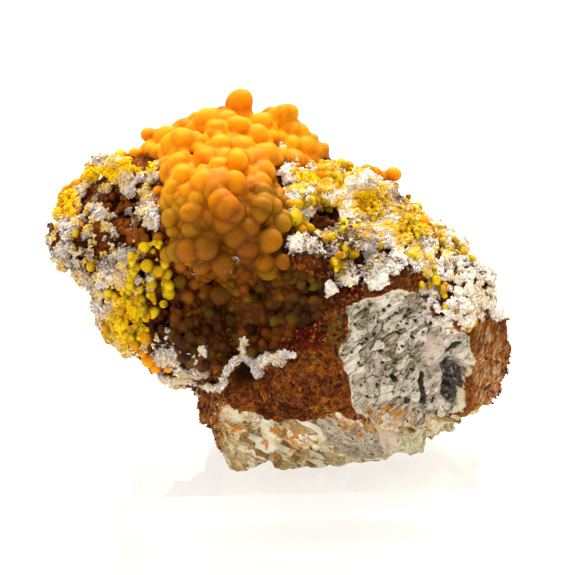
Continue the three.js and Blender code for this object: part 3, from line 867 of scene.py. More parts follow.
def mimetite_crown(finish):
    dice = np.random.default_rng(SEEDS["crown"])
    long_ones = rolls(CROWN_ROLLS, 0.95)
    seen = joined(long_ones, away_from(seen_balls(CROWN_BALLS, 0.75), long_ones, 0.0))
    large = away_from(crust_balls(CROWN_ZONES, 2.6, 1.2, 2.2, 1.9, dice), seen, 0.1)
    fill = crust_balls(CROWN_ZONES, 1.6, 0.9, 1.3, 0.75, dice)
    centres, radii = joined(seen, large, fill)
    across, up = in_view(centres).T
    left_edge = smooth_step(-10.5, -13.5, across) * smooth_step(16, 13, up)
    edge = left_edge + smooth_step(-4.5, -2.5, across) * (up < 15)
    yellow = 0.05 + 0.32 * edge * scatter(np.arange(len(radii)), 9)
    yellow = yellow + 0.25 * smooth_step(-5, -2, across) * smooth_step(17, 20, up)
    mimetite_piece("crown_balls", centres, radii, CROWN_VOXEL, yellow, 0, finish, dice, "mimetite_crown")


def mimetite_vug(finish):
    dice = np.random.default_rng(SEEDS["vug"])
    proud = crust_balls(VUG_ZONES, 1.7, 0.5, 1.0, 1.25, dice)
    fill = crust_balls(VUG_ZONES, 1.05, 0.4, 0.65, 0.2, dice)
    gaps = blotches(proud[0], 2.4, 15, 2) > 0.42
    proud = proud[0][gaps], proud[1][gaps]
    centres, radii = joined(seen_balls(VUG_BALLS, 0.6), proud, fill)
    yellow = 0.1 * scatter(np.arange(len(radii)), 19) ** 2
    # Patchy painted light: dark patches painted as shade among lit balls
    mimetite_piece(
        "vug_balls", centres, radii, VUG_VOXEL, yellow, 0, finish, dice, "mimetite_vug_lining",
        patchy=0.75,
    )


def mimetite_clusters(finish):
    for number, (name, listed) in enumerate(CLUSTERS.items()):
        dice = np.random.default_rng(SEEDS["clusters"] + number)
        centres, radii = seen_balls(listed, 0.5)
        yellow = 0.8 if name in YELLOW_CLUSTERS else 0.15
        bright = 0.85 if name in BRIGHT_CLUSTERS else 0.5
        piece = name.replace("mimetite_", "") + "_balls"
        mimetite_piece(piece, centres, radii, CLUSTER_VOXEL, yellow, bright, finish, dice, name)


def mimetite_back_patch(finish):
    dice = np.random.default_rng(SEEDS["back_patch"])
    centres, radii = crust_balls(BACK_PATCH_ZONES, 1.5, 0.7, 1.5, 1.0, dice)
    mimetite_piece(
        "back_patch_balls", centres, radii, BACK_PATCH_VOXEL, 0.3, 0, finish, dice,
        "mimetite_back_patch",
    )


def scattered_balls(finish):
    """Small balls dotted over the druse, thicker in some places than in others."""
    dice = np.random.default_rng(SEEDS["scattered"])
    zones = LEFT_DRUSE_ZONES + RIGHT_DRUSE_ZONES + YELLOW_ZONES
    points, _ = spots_in(zones, 0.95, dice, 0.05)
    crowd = blotches(points, 3.2, 61, 2) + 0.4 * (zone_depth(YELLOW_ZONES, points) > 0)
    crowd -= 0.08 * (zone_depth(LEFT_DRUSE_ZONES, points) > 0) + 0.12 * smooth_step(21, 24, points[:, 0])
    crowd += 0.12 * (depth_in_patches(points, DUSTY_PATCHES) > 0)
    crowd -= 0.1 * (depth_in_patches(points, DIRTY_PATCHES) > 0)
    kept = (crowd > 0.5) & (dice.random(len(points)) < 0.75) & (points[:, 0] > -30.5)
    points = points[kept]
    radii = 0.34 + 0.55 * dice.random(len(points)) ** 2
    centres = points + outwards(points) * (0.7 + 0.7 * dice.random((len(points), 1)))
    yellow = 0.55 + 0.45 * scatter(np.arange(len(points)), 5)
    mimetite_piece("scattered_balls", centres, radii, SCATTERED_VOXEL, yellow, 0.5, finish, dice)


def cavity_crystals(finish):
    """Amber-brown balls crowded in the open cavities of the druse, their painted light dimmed as shade."""
    dice = np.random.default_rng(SEEDS["cavities"])
    points, _ = spots_where(lambda at: depth_in_patches(at, CAVITIES), 0.75, dice)
    radii = 0.34 + 0.36 * dice.random(len(points)) ** 2
    centres = points - outwards(points) * (0.6 - 0.9 * dice.random((len(points), 1)))
    # dim takes off painted light, as painted shade in the cavities
    mimetite_piece(
        "cavity_balls", centres, radii, CAVITY_VOXEL, 0, 0, finish, dice, patchy=0.7, dim=0.28
    )


# Druse

GRAIN = (
    np.array([(0.8, 0.8, 0.8), (-0.8, -0.8, 0.8), (-0.8, 0.8, -0.8), (0.8, -0.8, -0.8)]),
    np.array([(0, 1, 3), (0, 2, 1), (0, 3, 2), (1, 2, 3)]),
)


def grains_on(points, normals, count, smallest, largest, dice):
    """Little crystals at random places of a surface, half sunk in it."""
    chosen = dice.integers(0, len(points), count)
    sizes = smallest + (largest - smallest) * dice.random((count, 1)) ** 2
    sizes = sizes * (0.6 + 0.7 * dice.random((count, 3)))
    centres = points[chosen] + normals[chosen] * (sizes[:, :1] * (dice.random((count, 1)) - 0.15))
    return copies(GRAIN, centres, sizes, random_turns(count, dice))


def druse_masks(points, dust_level):
    """How dirty, how mauve and how yellow each place of a druse is, and how deep it lies, which paints shade
    into its lows, less so in the clean patches.
    """
    lift = np.linalg.norm(points, axis=1) - rock_radius(outwards(points))
    dirty, mauve, clean = (
        smooth_step(-0.1, high, depth_in_patches(points, patches))
        for patches, high in ((DIRTY_PATCHES, 0.5), (MAUVE_PATCHES, 0.3), (CLEAN_PATCHES, 0.4))
    )
    fading = 1 - 0.75 * smooth_step(18, 22, points[:, 0]) * smooth_step(6, 3, points[:, 2])
    dust = smooth_step(0.5, 0.62, blotches(points, 1.7, 81, 2)) * dust_level * fading
    dusty_depth = depth_in_patches(points, DUSTY_PATCHES) + 0.5 * blotches(points, 1.5, 83) - 0.3
    dusty = smooth_step(-0.1, 0.4, dusty_depth)
    mottled = smooth_step(0.4, 0.65, blotches(points, 3.4, 75, 2))
    on_left = smooth_step(-12, -18, points[:, 0])
    return {
        # Painted shade: how far the druse lies down in its lows, less in the clean patches
        "deep": smooth_step(1.1, -0.1, lift) * (1 - 0.6 * clean),
        "dirt": 0.15 + 0.85 * dirty * smooth_step(0.3, 0.6, blotches(points, 2.0, 71, 2)) - 0.8 * clean,
        "mauve": np.maximum(mottled, 0.5) * np.maximum(on_left, mauve),
        "dust": np.maximum(dust * (1 - 0.6 * dirty), dusty),
    }


def druse_bed(centres, radii, chippings, dice):
    """One lumpy, chipped skin round a heap of little lumps."""
    stretch = 1 + 0.25 * dice.normal(size=(len(radii), 3)).clip(-1.5, 1.5)
    turns = random_turns(len(radii), dice)
    bed, faces = copies(ball_template(2), centres, radii[:, None] * stretch, turns)
    bed, quads = remeshed(bed, faces, DRUSE_VOXEL)
    rough = (blotches(bed, 0.6, 91, 2) - 0.5) * 0.7 + 0.18 * chipped(bed, 0.7, 92)
    return bed + vertex_normals(bed, quads) * (rough * chippings)[:, None], quads


def druse_piece(name, centres, radii, grain_count, dust_level, finish, dice, *nodes, chippings=1.0):
    bed, quads = druse_bed(centres, radii, chippings, dice)
    normals = vertex_normals(bed, quads)
    outer = np.flatnonzero((normals * outwards(bed)).sum(axis=1) > -0.3)
    grains, grain_faces = grains_on(bed[outer], normals[outer], grain_count, *CRYSTAL_SIZES, dice)
    triangles = np.concatenate([quads[:, [0, 1, 2]], quads[:, [0, 2, 3]], grain_faces + len(bed)])
    everything = np.concatenate([bed, grains])
    masks = druse_masks(everything, dust_level)
    grain_tones = np.repeat(dice.random(grain_count), len(GRAIN[0]))
    masks["own_tone"] = np.concatenate([blotches(bed, 0.5, 95), grain_tones])
    piece = make_mesh(name, to_world(everything), triangles, masks, smooth=False)
    set_piece(piece, finish, SLOT_DRUSE, *nodes)


def druse_lumps(depth_at, spacing, gaps, thick, dice, seed):
    """Little lumps heaped on the rock into humps, with gaps and open cavities between."""
    points, depth = spots_where(depth_at, spacing, dice)
    cover = blotches(points, 2.2, seed, 2)
    hump = smooth_step(0.3, 0.7, blotches(points, 3.2, seed + 1, 2))
    left_out = np.maximum(depth_in_patches(points, SHADOWED_HOLES), depth_in_patches(points, BARE_PATCHES))
    kept = (cover > gaps) & (left_out < 0)
    points, depth, hump = points[kept], depth[kept], hump[kept]
    radii = 0.3 + 0.42 * dice.random(len(points)) * (0.4 + 0.6 * hump)
    heap = 1.9 * smooth_step(0.0, 0.4, depth_in_patches(points, HEAPS))
    rise = thick * np.minimum(1, depth / CRUST_EDGE) * (0.35 + 0.75 * hump) - 0.35 * radii
    centres = points + outwards(points) * (rise + heap)[:, None]
    under = heap > 0.3
    lower = points[under] + outwards(points[under]) * (rise + heap * 0.4)[under, None]
    return np.concatenate([centres, lower]), np.concatenate([radii, radii[under]])


def druse_crust(name, zones, gaps, grain_count, dust_level, finish, seed, node):
    dice = np.random.default_rng(seed)
    centres, radii = druse_lumps(lambda at: zone_depth(zones, at), 0.75, gaps, 1.2, dice, seed)
    druse_piece(name, centres, radii, grain_count, dust_level, finish, dice, node)


def druse_patches(finish):
    seed = SEEDS["patches"]
    dice = np.random.default_rng(seed)

    def depth_at(points):
        behind = zone_depth(BACK_DRUSE_ZONES, points) * (points[:, 1] > 3)
        return np.maximum(depth_in_patches(points, WHITE_PATCHES), behind)

    lumps = druse_lumps(depth_at, 0.75, 0.42, 0.6, dice, seed)
    centres, radii = joined(lumps, tufts(dice))
    druse_piece("druse_small_patches", centres, radii, SMALL_GRAINS, 0.4, finish, dice)


def tufts(dice):
    """Lumps heaped on one another from the rock out to where each tuft shows."""
    centres, radii = [], []
    for across, up, half_width, half_height, out in WHITE_TUFTS:
        count = int(8 + 14 * half_width * half_height)
        spread = np.sqrt(dice.random(count))
        turn = 2 * np.pi * dice.random(count)
        view = np.stack([spread * np.cos(turn) * half_width, spread * np.sin(turn) * half_height], axis=1)
        foot = seen_on_rock(view + (across, up))
        top = at_depth(view + (across, up), (foot + outwards(foot) * out)[:, 1])
        for share in (0.35, 0.7, 1.0):
            centres.append(foot + (top - foot) * share)
            radii.append(0.24 + 0.22 * dice.random(count))
    return np.concatenate(centres), np.concatenate(radii)


def curl_line(samples):
    """Points evenly along the curled rim, from its straight runs."""
    corners = np.array(CURL)
    lengths = np.concatenate([[0], np.cumsum(np.linalg.norm(np.diff(corners, axis=0), axis=1))])
    along = np.linspace(0, lengths[-1], samples)
    return np.stack([np.interp(along, lengths, corners[:, k]) for k in (0, 1)], axis=1)


def lower_lip(finish):
    """The druse under the vug, with its curled rim standing up in front of a hollow."""
    seed = SEEDS["lip"]
    dice = np.random.default_rng(seed)
    heap, heap_radii = druse_lumps(lambda at: zone_depth(LIP_DRUSE_ZONES, at), 0.65, 0.56, 0.7, dice, seed)
    line = curl_line(80)
    rim = seen_on_rock(line)
    rim_radii = CURL_THICKNESS * (0.6 + 0.8 * dice.random(len(rim)))
    layers = [at_depth(line, (rim + outwards(rim) * lift)[:, 1]) for lift in (0.2, 0.7, 1.2, 1.7)]
    centres = np.concatenate([heap] + layers)
    radii = np.concatenate([heap_radii] + [rim_radii] * len(layers))
    druse_piece(
        "druse_curled_lip", centres, radii, SMALL_GRAINS, 0.2, finish, dice, "druse_lower_lip",
        chippings=0.5,
    )


def all_druse(finish):
    druse_crust(
        "druse_crust_left", LEFT_DRUSE_ZONES, 0.05, LEFT_GRAINS, 0.6, finish, SEEDS["left"],
        "druse_left_lobe",
    )
    druse_crust(
        "druse_crust_right", RIGHT_DRUSE_ZONES, 0.2, RIGHT_GRAINS, 0.9, finish, SEEDS["right"],
        "druse_right_flank",
    )
    lower_lip(finish)
    druse_patches(finish)


def needle_sprays(finish):
    """Fine white needles that fan out from a few spots on the balls."""
    dice = np.random.default_rng(SEEDS["needles"])
    template = (
        np.array([(1, 0, 0), (-0.5, 0.87, 0), (-0.5, -0.87, 0), (0, 0, 1)], float),
        np.array([(0, 1, 3), (1, 2, 3), (2, 0, 3), (0, 2, 1)]),
    )
    points, faces = [], []
    for across, up, count, length in SPRAYS:
        foot = seen_on_rock([(across, up)])
        foot = foot + outwards(foot) * 3.0
        heads = outwards(outwards(foot) + 0.75 * dice.normal(size=(count, 3)))
        lengths = length * (0.4 + 0.6 * dice.random(count))
        for head, reach in zip(heads, lengths):
            turn = np.array(Vector(head).to_track_quat("Z", "Y").to_matrix())[None]
            stretch = np.array([[NEEDLE_RADIUS, NEEDLE_RADIUS, reach]])
            needle, sides = copies(template, foot, stretch, turn)
            faces.append(sides + len(points) * len(template[0]))
            points.append(needle)
    everything = np.concatenate(points)
    masks = {name: np.zeros(len(everything)) for name in ("deep", "dirt", "mauve", "dust", "own_tone")}
    piece = make_mesh("white_needles", to_world(everything), np.concatenate(faces), masks, smooth=False)
    set_piece(piece, finish, SLOT_DRUSE)


# Rock

def gash_gap(view):
    """How far inside a gash each place is, in mm, below 0 outside."""
    gaps = []
    for x0, z0, x1, z1, half_width in GASHES:
        start = np.array([x0, z0])
        along, distance = beside_line(view, start, np.array([x1 - x0, z1 - z0]))
        taper = 1 - np.abs(2 * along - 1) ** 3
        gaps.append(half_width * taper - distance)
    return np.max(gaps, axis=0)


def pit_gap(view):
    """The same for the round pits."""
    return np.max([r - np.hypot(view[:, 0] - x, view[:, 1] - z) for x, z, r in PITS], axis=0)


def rock_masks(points):
    """Which kind of rock each place of the surface is, and where holes are painted dark as shadow. Those
    called edge or gap are distances inside a shape, in mm."""
    front = smooth_step(4, -3, points[:, 1])
    view = in_view(points)
    uneven = np.stack([blotches(points, 2.2, 3, 3), blotches(points, 2.2, 13, 3)], axis=1) - 0.5
    ragged = view + uneven * 1.5
    back = points[:, 1] > 2
    back_pale = (blotches(points, 9.0, 23, 3) - 0.5) * 25 - np.maximum(points[:, 2], 0)
    jagged = view + uneven * 0.35
    masks = {
        "face_edge": np.clip(outline_depth(ragged, PALE_FACE), -1.5, 1.5) - 3 * back,
        "lower_edge": np.clip(np.where(back, back_pale, outline_depth(ragged, LOWER_ROCK)), -1.5, 1.5),
        "plate_edge": np.clip(outline_depth(view + uneven, LOWER_PLATE), -1.5, 1.5) - 3 * back,
        "gash_gap": np.clip(gash_gap(jagged), -0.6, 0.6) - back,
        "pit_gap": np.clip(pit_gap(jagged), -0.6, 0.6) - back,
    }
    for name, (patches, low, high) in ROCK_STAINS.items():
        masks[name] = smooth_step(low, high, patch_depth(ragged, patches)) * front
    # Painted shadow: holes and cavities, sunk and coloured near-black
    masks["hole"] = smooth_step(-0.1, 0.3, patch_depth(view, SHADOWED_HOLES + CAVITIES)) * front
    over_foot = view[:, 1] - FOOT_SLOPE * view[:, 0]
    masks["foot"] = smooth_step(-24.8, -26.0, over_foot) * smooth_step(4, 12, view[:, 0])
    return masks


# Ways that the rock's streaks, fibres and shards run, and at right angles to them on its faces
RIGHT_FACE = (0.8, -0.6, 0)
STREAK = unit((0.72, 0.35, 0.58))
STREAK_ACROSS = unit(np.cross(STREAK, PALE_BREAK))
FIBRE = unit((0.25, 0.3, 1.0))
FIBRE_ACROSS = unit(np.cross(FIBRE, RIGHT_FACE))
SHARD = unit((0.8, -0.1, -0.35))
SHARD_ACROSS = unit(np.cross(SHARD, LOWER_BREAK))


def streaks(points, long, narrow, seed):
    """Long thin ridges that climb to the right."""
    along = points @ STREAK / long
    across = points @ STREAK_ACROSS / narrow
    normal = points @ np.cross(STREAK, STREAK_ACROSS) / (narrow * 3)
    return 1 - np.abs(2 * blotches(np.stack([along, across, normal], axis=1), 1.0, seed, 2) - 1)


def pits(points, spacing, widest, seed):
    """Round pits: 1 at the middle of each and 0 outside, of many sizes."""
    _, nearest, _, own = pebbles(points, spacing, seed)
    width = widest / spacing * np.maximum(own - 0.35, 0.02)
    return smooth_step(1.0, 0.45, nearest / width)


def rock_relief(points, masks):
    """The rise of the rock's fine relief over its broad form, in mm."""
    _, lump, next_lump, _ = pebbles(points, 1.5, 201)
    _, crumb, next_crumb, _ = pebbles(points, 0.62, 211)
    rust = 0.75 * (next_lump - lump) + 0.32 * (next_crumb - crumb) - 0.45
    rust += 0.5 * (blotches(points, 1.1, 221, 3) - 0.5)
    normal = points @ np.cross(STREAK, STREAK_ACROSS)
    drawn = np.stack([points @ STREAK / 1.8, points @ STREAK_ACROSS, normal], 1)
    face = -0.75 + 0.8 * chipped(drawn, 2.6, 231) + 0.25 * chipped(drawn, 0.9, 233)
    face += 0.2 * (blotches(points, 0.6, 243, 3) - 0.5)
    face -= 0.5 * pits(points, 1.1, 0.6, 251) + 0.9 * smooth_step(-0.1, 0.35, masks["pit_gap"])
    face -= 1.0 * masks["grey"] + 1.0 * smooth_step(-0.15, 0.3, masks["gash_gap"])
    lower = -0.55 + 1.3 * chipped(points, 3.4, 271) + 0.5 * chipped(points, 1.3, 281)
    lower += 0.2 * (streaks(points, 2.5, 0.6, 291) - 0.6)
    on_face = smooth_step(-0.15, 0.25, masks["face_edge"])
    on_lower = smooth_step(-0.2, 0.3, masks["lower_edge"]) * (1 - on_face)
    rise = rust * (1 - on_face) * (1 - on_lower) + face * on_face + lower * on_lower
    return rise - 1.4 * masks["hole"] - 0.3 * masks["red"]


def set_down(points):
    """Nothing reaches below the resting height: lower points move in towards the centre."""
    height = ROCK_CENTRE[2] + points @ TURN[2]
    over = REST_HEIGHT - ROCK_CENTRE[2]
    share = np.where(height < REST_HEIGHT, over / np.minimum(points @ TURN[2], -1e-6), 1)
    return points * share[:, None]


def rock(finish):
    directions, quads = cube_sphere(ROCK_CUTS, ROCK_FORWARD)
    points = directions * rock_radius(directions)[:, None]
    masks = rock_masks(points)
    rise = rock_relief(points, masks)
    # How far the relief sinks, for painted shade in the rock's hollows
    masks["sunk"] = smooth_step(0.0, -0.55, rise)
    points = set_down(points + directions * rise[:, None])
    piece = make_mesh("matrix_rock", to_world(points), quads, masks)
    set_piece(piece, finish, SLOT_ROCK, "matrix")
    return points, quads, masks


def limonite_grains(points, quads, masks, finish):
    """Rusty crumbs on the limonite."""
    dice = np.random.default_rng(SEEDS["crumbs"])
    normals = vertex_normals(points, quads)
    bare = (masks["face_edge"] < -0.2) & (masks["lower_edge"] < -0.2)
    clear = (zone_depth(CROWN_ZONES + VUG_ZONES, points) < -0.02) & (masks["hole"] < 0.3)
    high = ROCK_CENTRE[2] + points @ TURN[2] > REST_HEIGHT + 0.6
    chosen = np.flatnonzero(bare & clear & high)
    grains, faces = grains_on(points[chosen], normals[chosen], CRUMB_COUNT, *CRUMB_SIZES, dice)
    tones = {"own_tone": np.repeat(dice.random(CRUMB_COUNT), len(GRAIN[0]))}
    piece = make_mesh("limonite_crumbs", to_world(grains), faces, tones, smooth=False)
    set_piece(piece, finish, SLOT_ROCK)


# Finishes

def tone(colour):
    """A colour given from 0 to 255 as linear light."""
    light = [v / 255 for v in colour]
    return tuple(v / 12.92 if v <= 0.04045 else ((v + 0.055) / 1.055) ** 2.4 for v in light) + (1,)


class Flow:
    """What comes out of a shader node, with Python's operators for maths on it."""

    def __init__(self, finish, socket):
        self.finish = finish
        self.socket = socket

    def math(self, operation, *values):
        inputs = dict(enumerate(values))
        return self.finish.node("ShaderNodeMath", {"operation": operation}, inputs)

    def __add__(self, other):
        return self.math("ADD", self, other)

    def __sub__(self, other):
        return self.math("SUBTRACT", self, other)

    def __rsub__(self, other):
        return self.math("SUBTRACT", other, self)

    def __mul__(self, other):
        return self.math("MULTIPLY", self, other)

    __radd__ = __add__
    __rmul__ = __mul__

    def most(self, other):
        """The larger of the two."""
        return self.math("MAXIMUM", self, other)

    def output(self, number):
        """Another output of the same node."""
        return Flow(self.finish, self.socket.node.outputs[number])

    def between(self, low, high):
        """0 at low, 1 at high, smooth between."""
        settings = {"interpolation_type": "SMOOTHSTEP"}
        return self.finish.node("ShaderNodeMapRange", settings, {0: self, 1: low, 2: high})


class Nodes:
    """A node tree, emptied, and what new nodes are added to it with."""

    def __init__(self, tree):
        self.tree = tree
        self.tree.nodes.clear()

    def node(self, kind, settings=None, inputs=None, output=0):
        node = self.tree.nodes.new(kind)
        for name, value in (settings or {}).items():
            if name == "stops":
                self.set_stops(node.color_ramp, value)
            else:
                setattr(node, name, value)
        for name, value in (inputs or {}).items():
            if isinstance(value, Flow):
                self.tree.links.new(value.socket, node.inputs[name])
            else:
                node.inputs[name].default_value = value
        return Flow(self, node.outputs[output])

    def set_stops(self, ramp, stops):
        while len(ramp.elements) < len(stops):
            ramp.elements.new(1)
        for element, (position, colour) in zip(ramp.elements, stops):
            element.position = position
            element.color = tone(colour)

    def end_with(self, shader, kind):
        """The tree's last node, which shows the shader."""
        output = self.tree.nodes.new(kind)
        self.tree.links.new(shader.socket, output.inputs["Surface"])


class Finish(Nodes):
    """A material, with its place in mm and the patterns that it is made of."""

    def __init__(self, name):
        self.material = bpy.data.materials.new(name)
        self.material.use_nodes = True
        super().__init__(self.material.node_tree)
        coordinates = self.node("ShaderNodeTexCoord", output="Object")
        self.place = self.node(
            "ShaderNodeVectorMath", {"operation": "SCALE"}, {0: coordinates, "Scale": 1 / MM}
        )

    def mask(self, name):
        return self.node("ShaderNodeAttribute", {"attribute_name": name}, output="Fac")

    def noise(self, size, detail=3, roughness=0.55, place=None):
        inputs = {"Vector": place or self.place, "Scale": 1 / size, "Detail": detail, "Roughness": roughness}
        return self.node("ShaderNodeTexNoise", None, inputs)

    def spots(self, size, place=None, feature="F1", output="Distance"):
        inputs = {"Vector": place or self.place, "Scale": 1 / size}
        return self.node("ShaderNodeTexVoronoi", {"feature": feature}, inputs, output)

    def wavy(self, place, amount, size=1.0):
        """Coordinates pushed about by a noise."""
        inputs = {"Vector": place, "Scale": 1 / size, "Detail": 2.0}
        noise = self.node("ShaderNodeTexNoise", None, inputs, output="Color")
        return self.node(
            "ShaderNodeVectorMath", {"operation": "MULTIPLY_ADD"}, {0: noise, 1: (amount,) * 3, 2: place}
        )

    def grain_place(self, along, across, long, narrow):
        """Coordinates in which a noise is drawn out along one direction of the specimen."""
        axes = ((along, long), (across, narrow), (np.cross(along, across), narrow))
        parts = {}
        for number, (axis, size) in enumerate(axes):
            settings = {"operation": "DOT_PRODUCT"}
            inputs = {0: self.place, 1: tuple(TURN @ axis / size)}
            parts[number] = self.node("ShaderNodeVectorMath", settings, inputs, output="Value")
        return self.node("ShaderNodeCombineXYZ", None, parts)

    def ramp(self, value, *stops):
        return self.node("ShaderNodeValToRGB", {"stops": stops}, {0: value})

    def mix(self, share, first, second, blend="MIX"):
        settings = {"data_type": "RGBA", "blend_type": blend}
        pair = {6: first, 7: second}
        for key, value in pair.items():
            pair[key] = value if isinstance(value, Flow) else tone(value)
        return self.node("ShaderNodeMix", settings, {0: share, **pair}, output=2)

    def shade(self, colour, value):
        """A colour made darker or lighter by a value."""
        grey = self.node("ShaderNodeCombineColor", None, {0: value, 1: value, 2: value})
        return self.mix(1.0, colour, grey, "MULTIPLY")

    def stained(self, body, colour, mask, size, detail, low, high, strength=1.0):
        """A body with a colour laid over it where a mask is, broken up by a noise."""
        broken = self.noise(size, detail).between(low, high)
        return self.mix(self.mask(mask) * broken * strength, body, colour)

    def bump(self, height, distance):
        inputs = {"Height": height, "Distance": distance * MM, "Strength": 1.0}
        return self.node("ShaderNodeBump", None, inputs)

    def surface(self, **inputs):
        names = {name.replace("_", " "): value for name, value in inputs.items()}
        shader = self.node("ShaderNodeBsdfPrincipled", None, names)
        self.end_with(shader, "ShaderNodeOutputMaterial")
        return self.material


def mimetite_finish():
    """Waxy, slightly translucent orange, painted from deep amber in the shade to bright orange where the
    light falls on top.
    """
    f = Finish("mimetite_wax")
    # Painted light and shade: the tone follows the light mask, partly the wax's own tones
    light = f.mask("light") + (f.mask("own_tone") - 0.5) * 0.14 + (f.noise(1.6) - 0.5) * 0.2
    orange = f.ramp(
        light, (0.0, AMBER_BLACK), (0.12, AMBER_DEEP), (0.32, AMBER_DARK), (0.48, AMBER),
        (0.64, GOLDEN), (0.78, ORANGE), (0.96, ORANGE_TOP),
    )
    yellow = f.mix(f.mask("own_tone").between(0.55, 0.85), YELLOW, GOLDEN_YELLOW)
    olive = f.noise(1.1).between(0.48, 0.66) * f.mask("yellow").between(0.4, 0.8)
    yellow = f.mix(olive, yellow, OLIVE)
    body = f.mix(f.mask("yellow") * 0.85, orange, yellow)
    # Painted shade where balls meet: dark brown where the painted light is low, deep orange where it is high
    crease = f.mix(light.between(0.55, 0.95), CREASE_SHADE_BROWN, CREASE_SHADE_ORANGE)
    body = f.mix(f.mask("crease") * 0.8, body, crease)
    cloud = f.noise(0.35, 4)
    body = f.shade(body, cloud * 0.4 + 0.8)
    grain = f.bump(f.noise(0.16, 4, 0.6), 0.04)
    return f.surface(
        Base_Color=body, Roughness=cloud * 0.25 + 0.36, Normal=grain, IOR=1.5, Specular_IOR_Level=0.07,
        Subsurface_Weight=0.15, Subsurface_Radius=(1.0, 0.42, 0.05), Subsurface_Scale=0.7 * MM,
    )


def druse_finish():
    """Sugary white, greyer and browner in the gaps, partly from the rusty ground and partly as painted shade,
    with a yellow dusting in places.
    """
    f = Finish("white_druse_sugar")
    tint = f.mask("own_tone")
    clean = f.mix(tint * 0.8, SNOW, DRUSE_GREY)
    clean = f.mix(f.mask("mauve") * 0.6, clean, DRUSE_MAUVE)
    clean = f.mix(f.mask("dust"), clean, YELLOW_DUST)
    # Browner where dirty and, as painted shade, where the druse lies deep
    soil_and_shade = f.mask("dirt") * 0.48 + f.mask("deep") * 0.4 + (f.noise(0.7, 4, 0.65) - 0.5) * 2.0
    ground = f.ramp(
        f.noise(1.4, 3), (0.4, RUST_DARK), (0.48, DRUSE_DIRT), (0.56, RUST), (0.64, OLIVE)
    )
    body = f.mix(soil_and_shade.between(0.32, 0.55), clean, ground)
    # Painted shade: darker where the druse lies deep
    body = f.shade(body, f.mask("deep") * -0.45 + 1.0)
    speck = f.noise(0.18, 4)
    body = f.shade(body, speck * 0.5 + 0.8)
    return f.surface(
        Base_Color=body, Roughness=tint * 0.3 + 0.4, Normal=f.bump(speck, 0.08), Specular_IOR_Level=0.12,
        Subsurface_Weight=0.15, Subsurface_Radius=(1.0, 0.9, 0.8), Subsurface_Scale=0.4 * MM,
    )


def rust_colour(f):
    patchy = f.noise(0.5, 5, 0.7) * 0.5 + f.noise(2.4, 3) * 0.3 + f.noise(7.0, 2) * 0.2
    rust = f.ramp(patchy, (0.38, RUST_DARK), (0.47, RUST), (0.55, RUST_LIGHT), (0.66, OCHRE))
    fibres = f.noise(1.0, 4, 0.6, f.wavy(f.grain_place(FIBRE, FIBRE_ACROSS, 2.0, 0.4), 2.0, 2.5))
    fibrous = f.ramp(fibres, (0.36, RUST), (0.45, RUST_LIGHT), (0.53, RUST_PALE), (0.62, BEIGE_LIGHT))
    rust = f.mix(f.mask("ochre") * 0.85, rust, fibrous)
    # Painted shade: the rust darker where the relief sinks
    return f.mix(f.mask("sunk") * 0.55, rust, RUST_DARK)


def pale_colour(f):
    """Grey-white rock in overlapping plates, with dark gashes along the break and dark pits painted
    near-black as shadow, and recesses painted dark as shade.
    """
    plate_place = f.wavy(f.grain_place(STREAK, STREAK_ACROSS, 3.0, 1.0), 0.7)
    plate_tone = f.spots(1.0, plate_place, output="Color")
    plate_edge = f.spots(1.0, plate_place, "DISTANCE_TO_EDGE")
    flakes = f.noise(1.0, 4, 0.6, f.grain_place(STREAK, STREAK_ACROSS, 1.6, 0.3))
    tone_here = plate_tone * 0.26 + flakes * 0.44 + f.noise(1.8, 4, 0.6) * 0.3
    pale = f.ramp(tone_here, (0.34, PALE_DARK), (0.42, PALE_SHADE), (0.5, PALE), (0.6, PALE_LIGHT))
    # Painted shade: dark gashes along the plates' edges
    gash = plate_edge.between(0.08, 0.02) * f.noise(1.6, 3).between(0.45, 0.58)
    pale = f.mix(gash * 0.85, pale, SHADOW_AND_MARK_BLACK)
    # Painted shadow: small black pits
    pit_place = f.wavy(f.place, 0.25, 0.5)
    room = f.spots(1.05, pit_place, output="Color").between(0.4, 0.8) * 0.24
    pit = (room - f.spots(1.05, pit_place)).between(0.0, 0.06)
    pale = f.mix(pit * 0.9, pale, SHADOW_AND_MARK_BLACK)
    pale = f.stained(pale, PINKISH, "pink", 1.1, 3, 0.38, 0.5, 0.7)
    # Painted shade in the grey recesses, near-black to slate
    recess_shade = f.mix(flakes.between(0.4, 0.6), SHADOW_AND_MARK_BLACK, SLATE)
    return f.stained(pale, recess_shade, "grey", 0.7, 3, 0.25, 0.45)


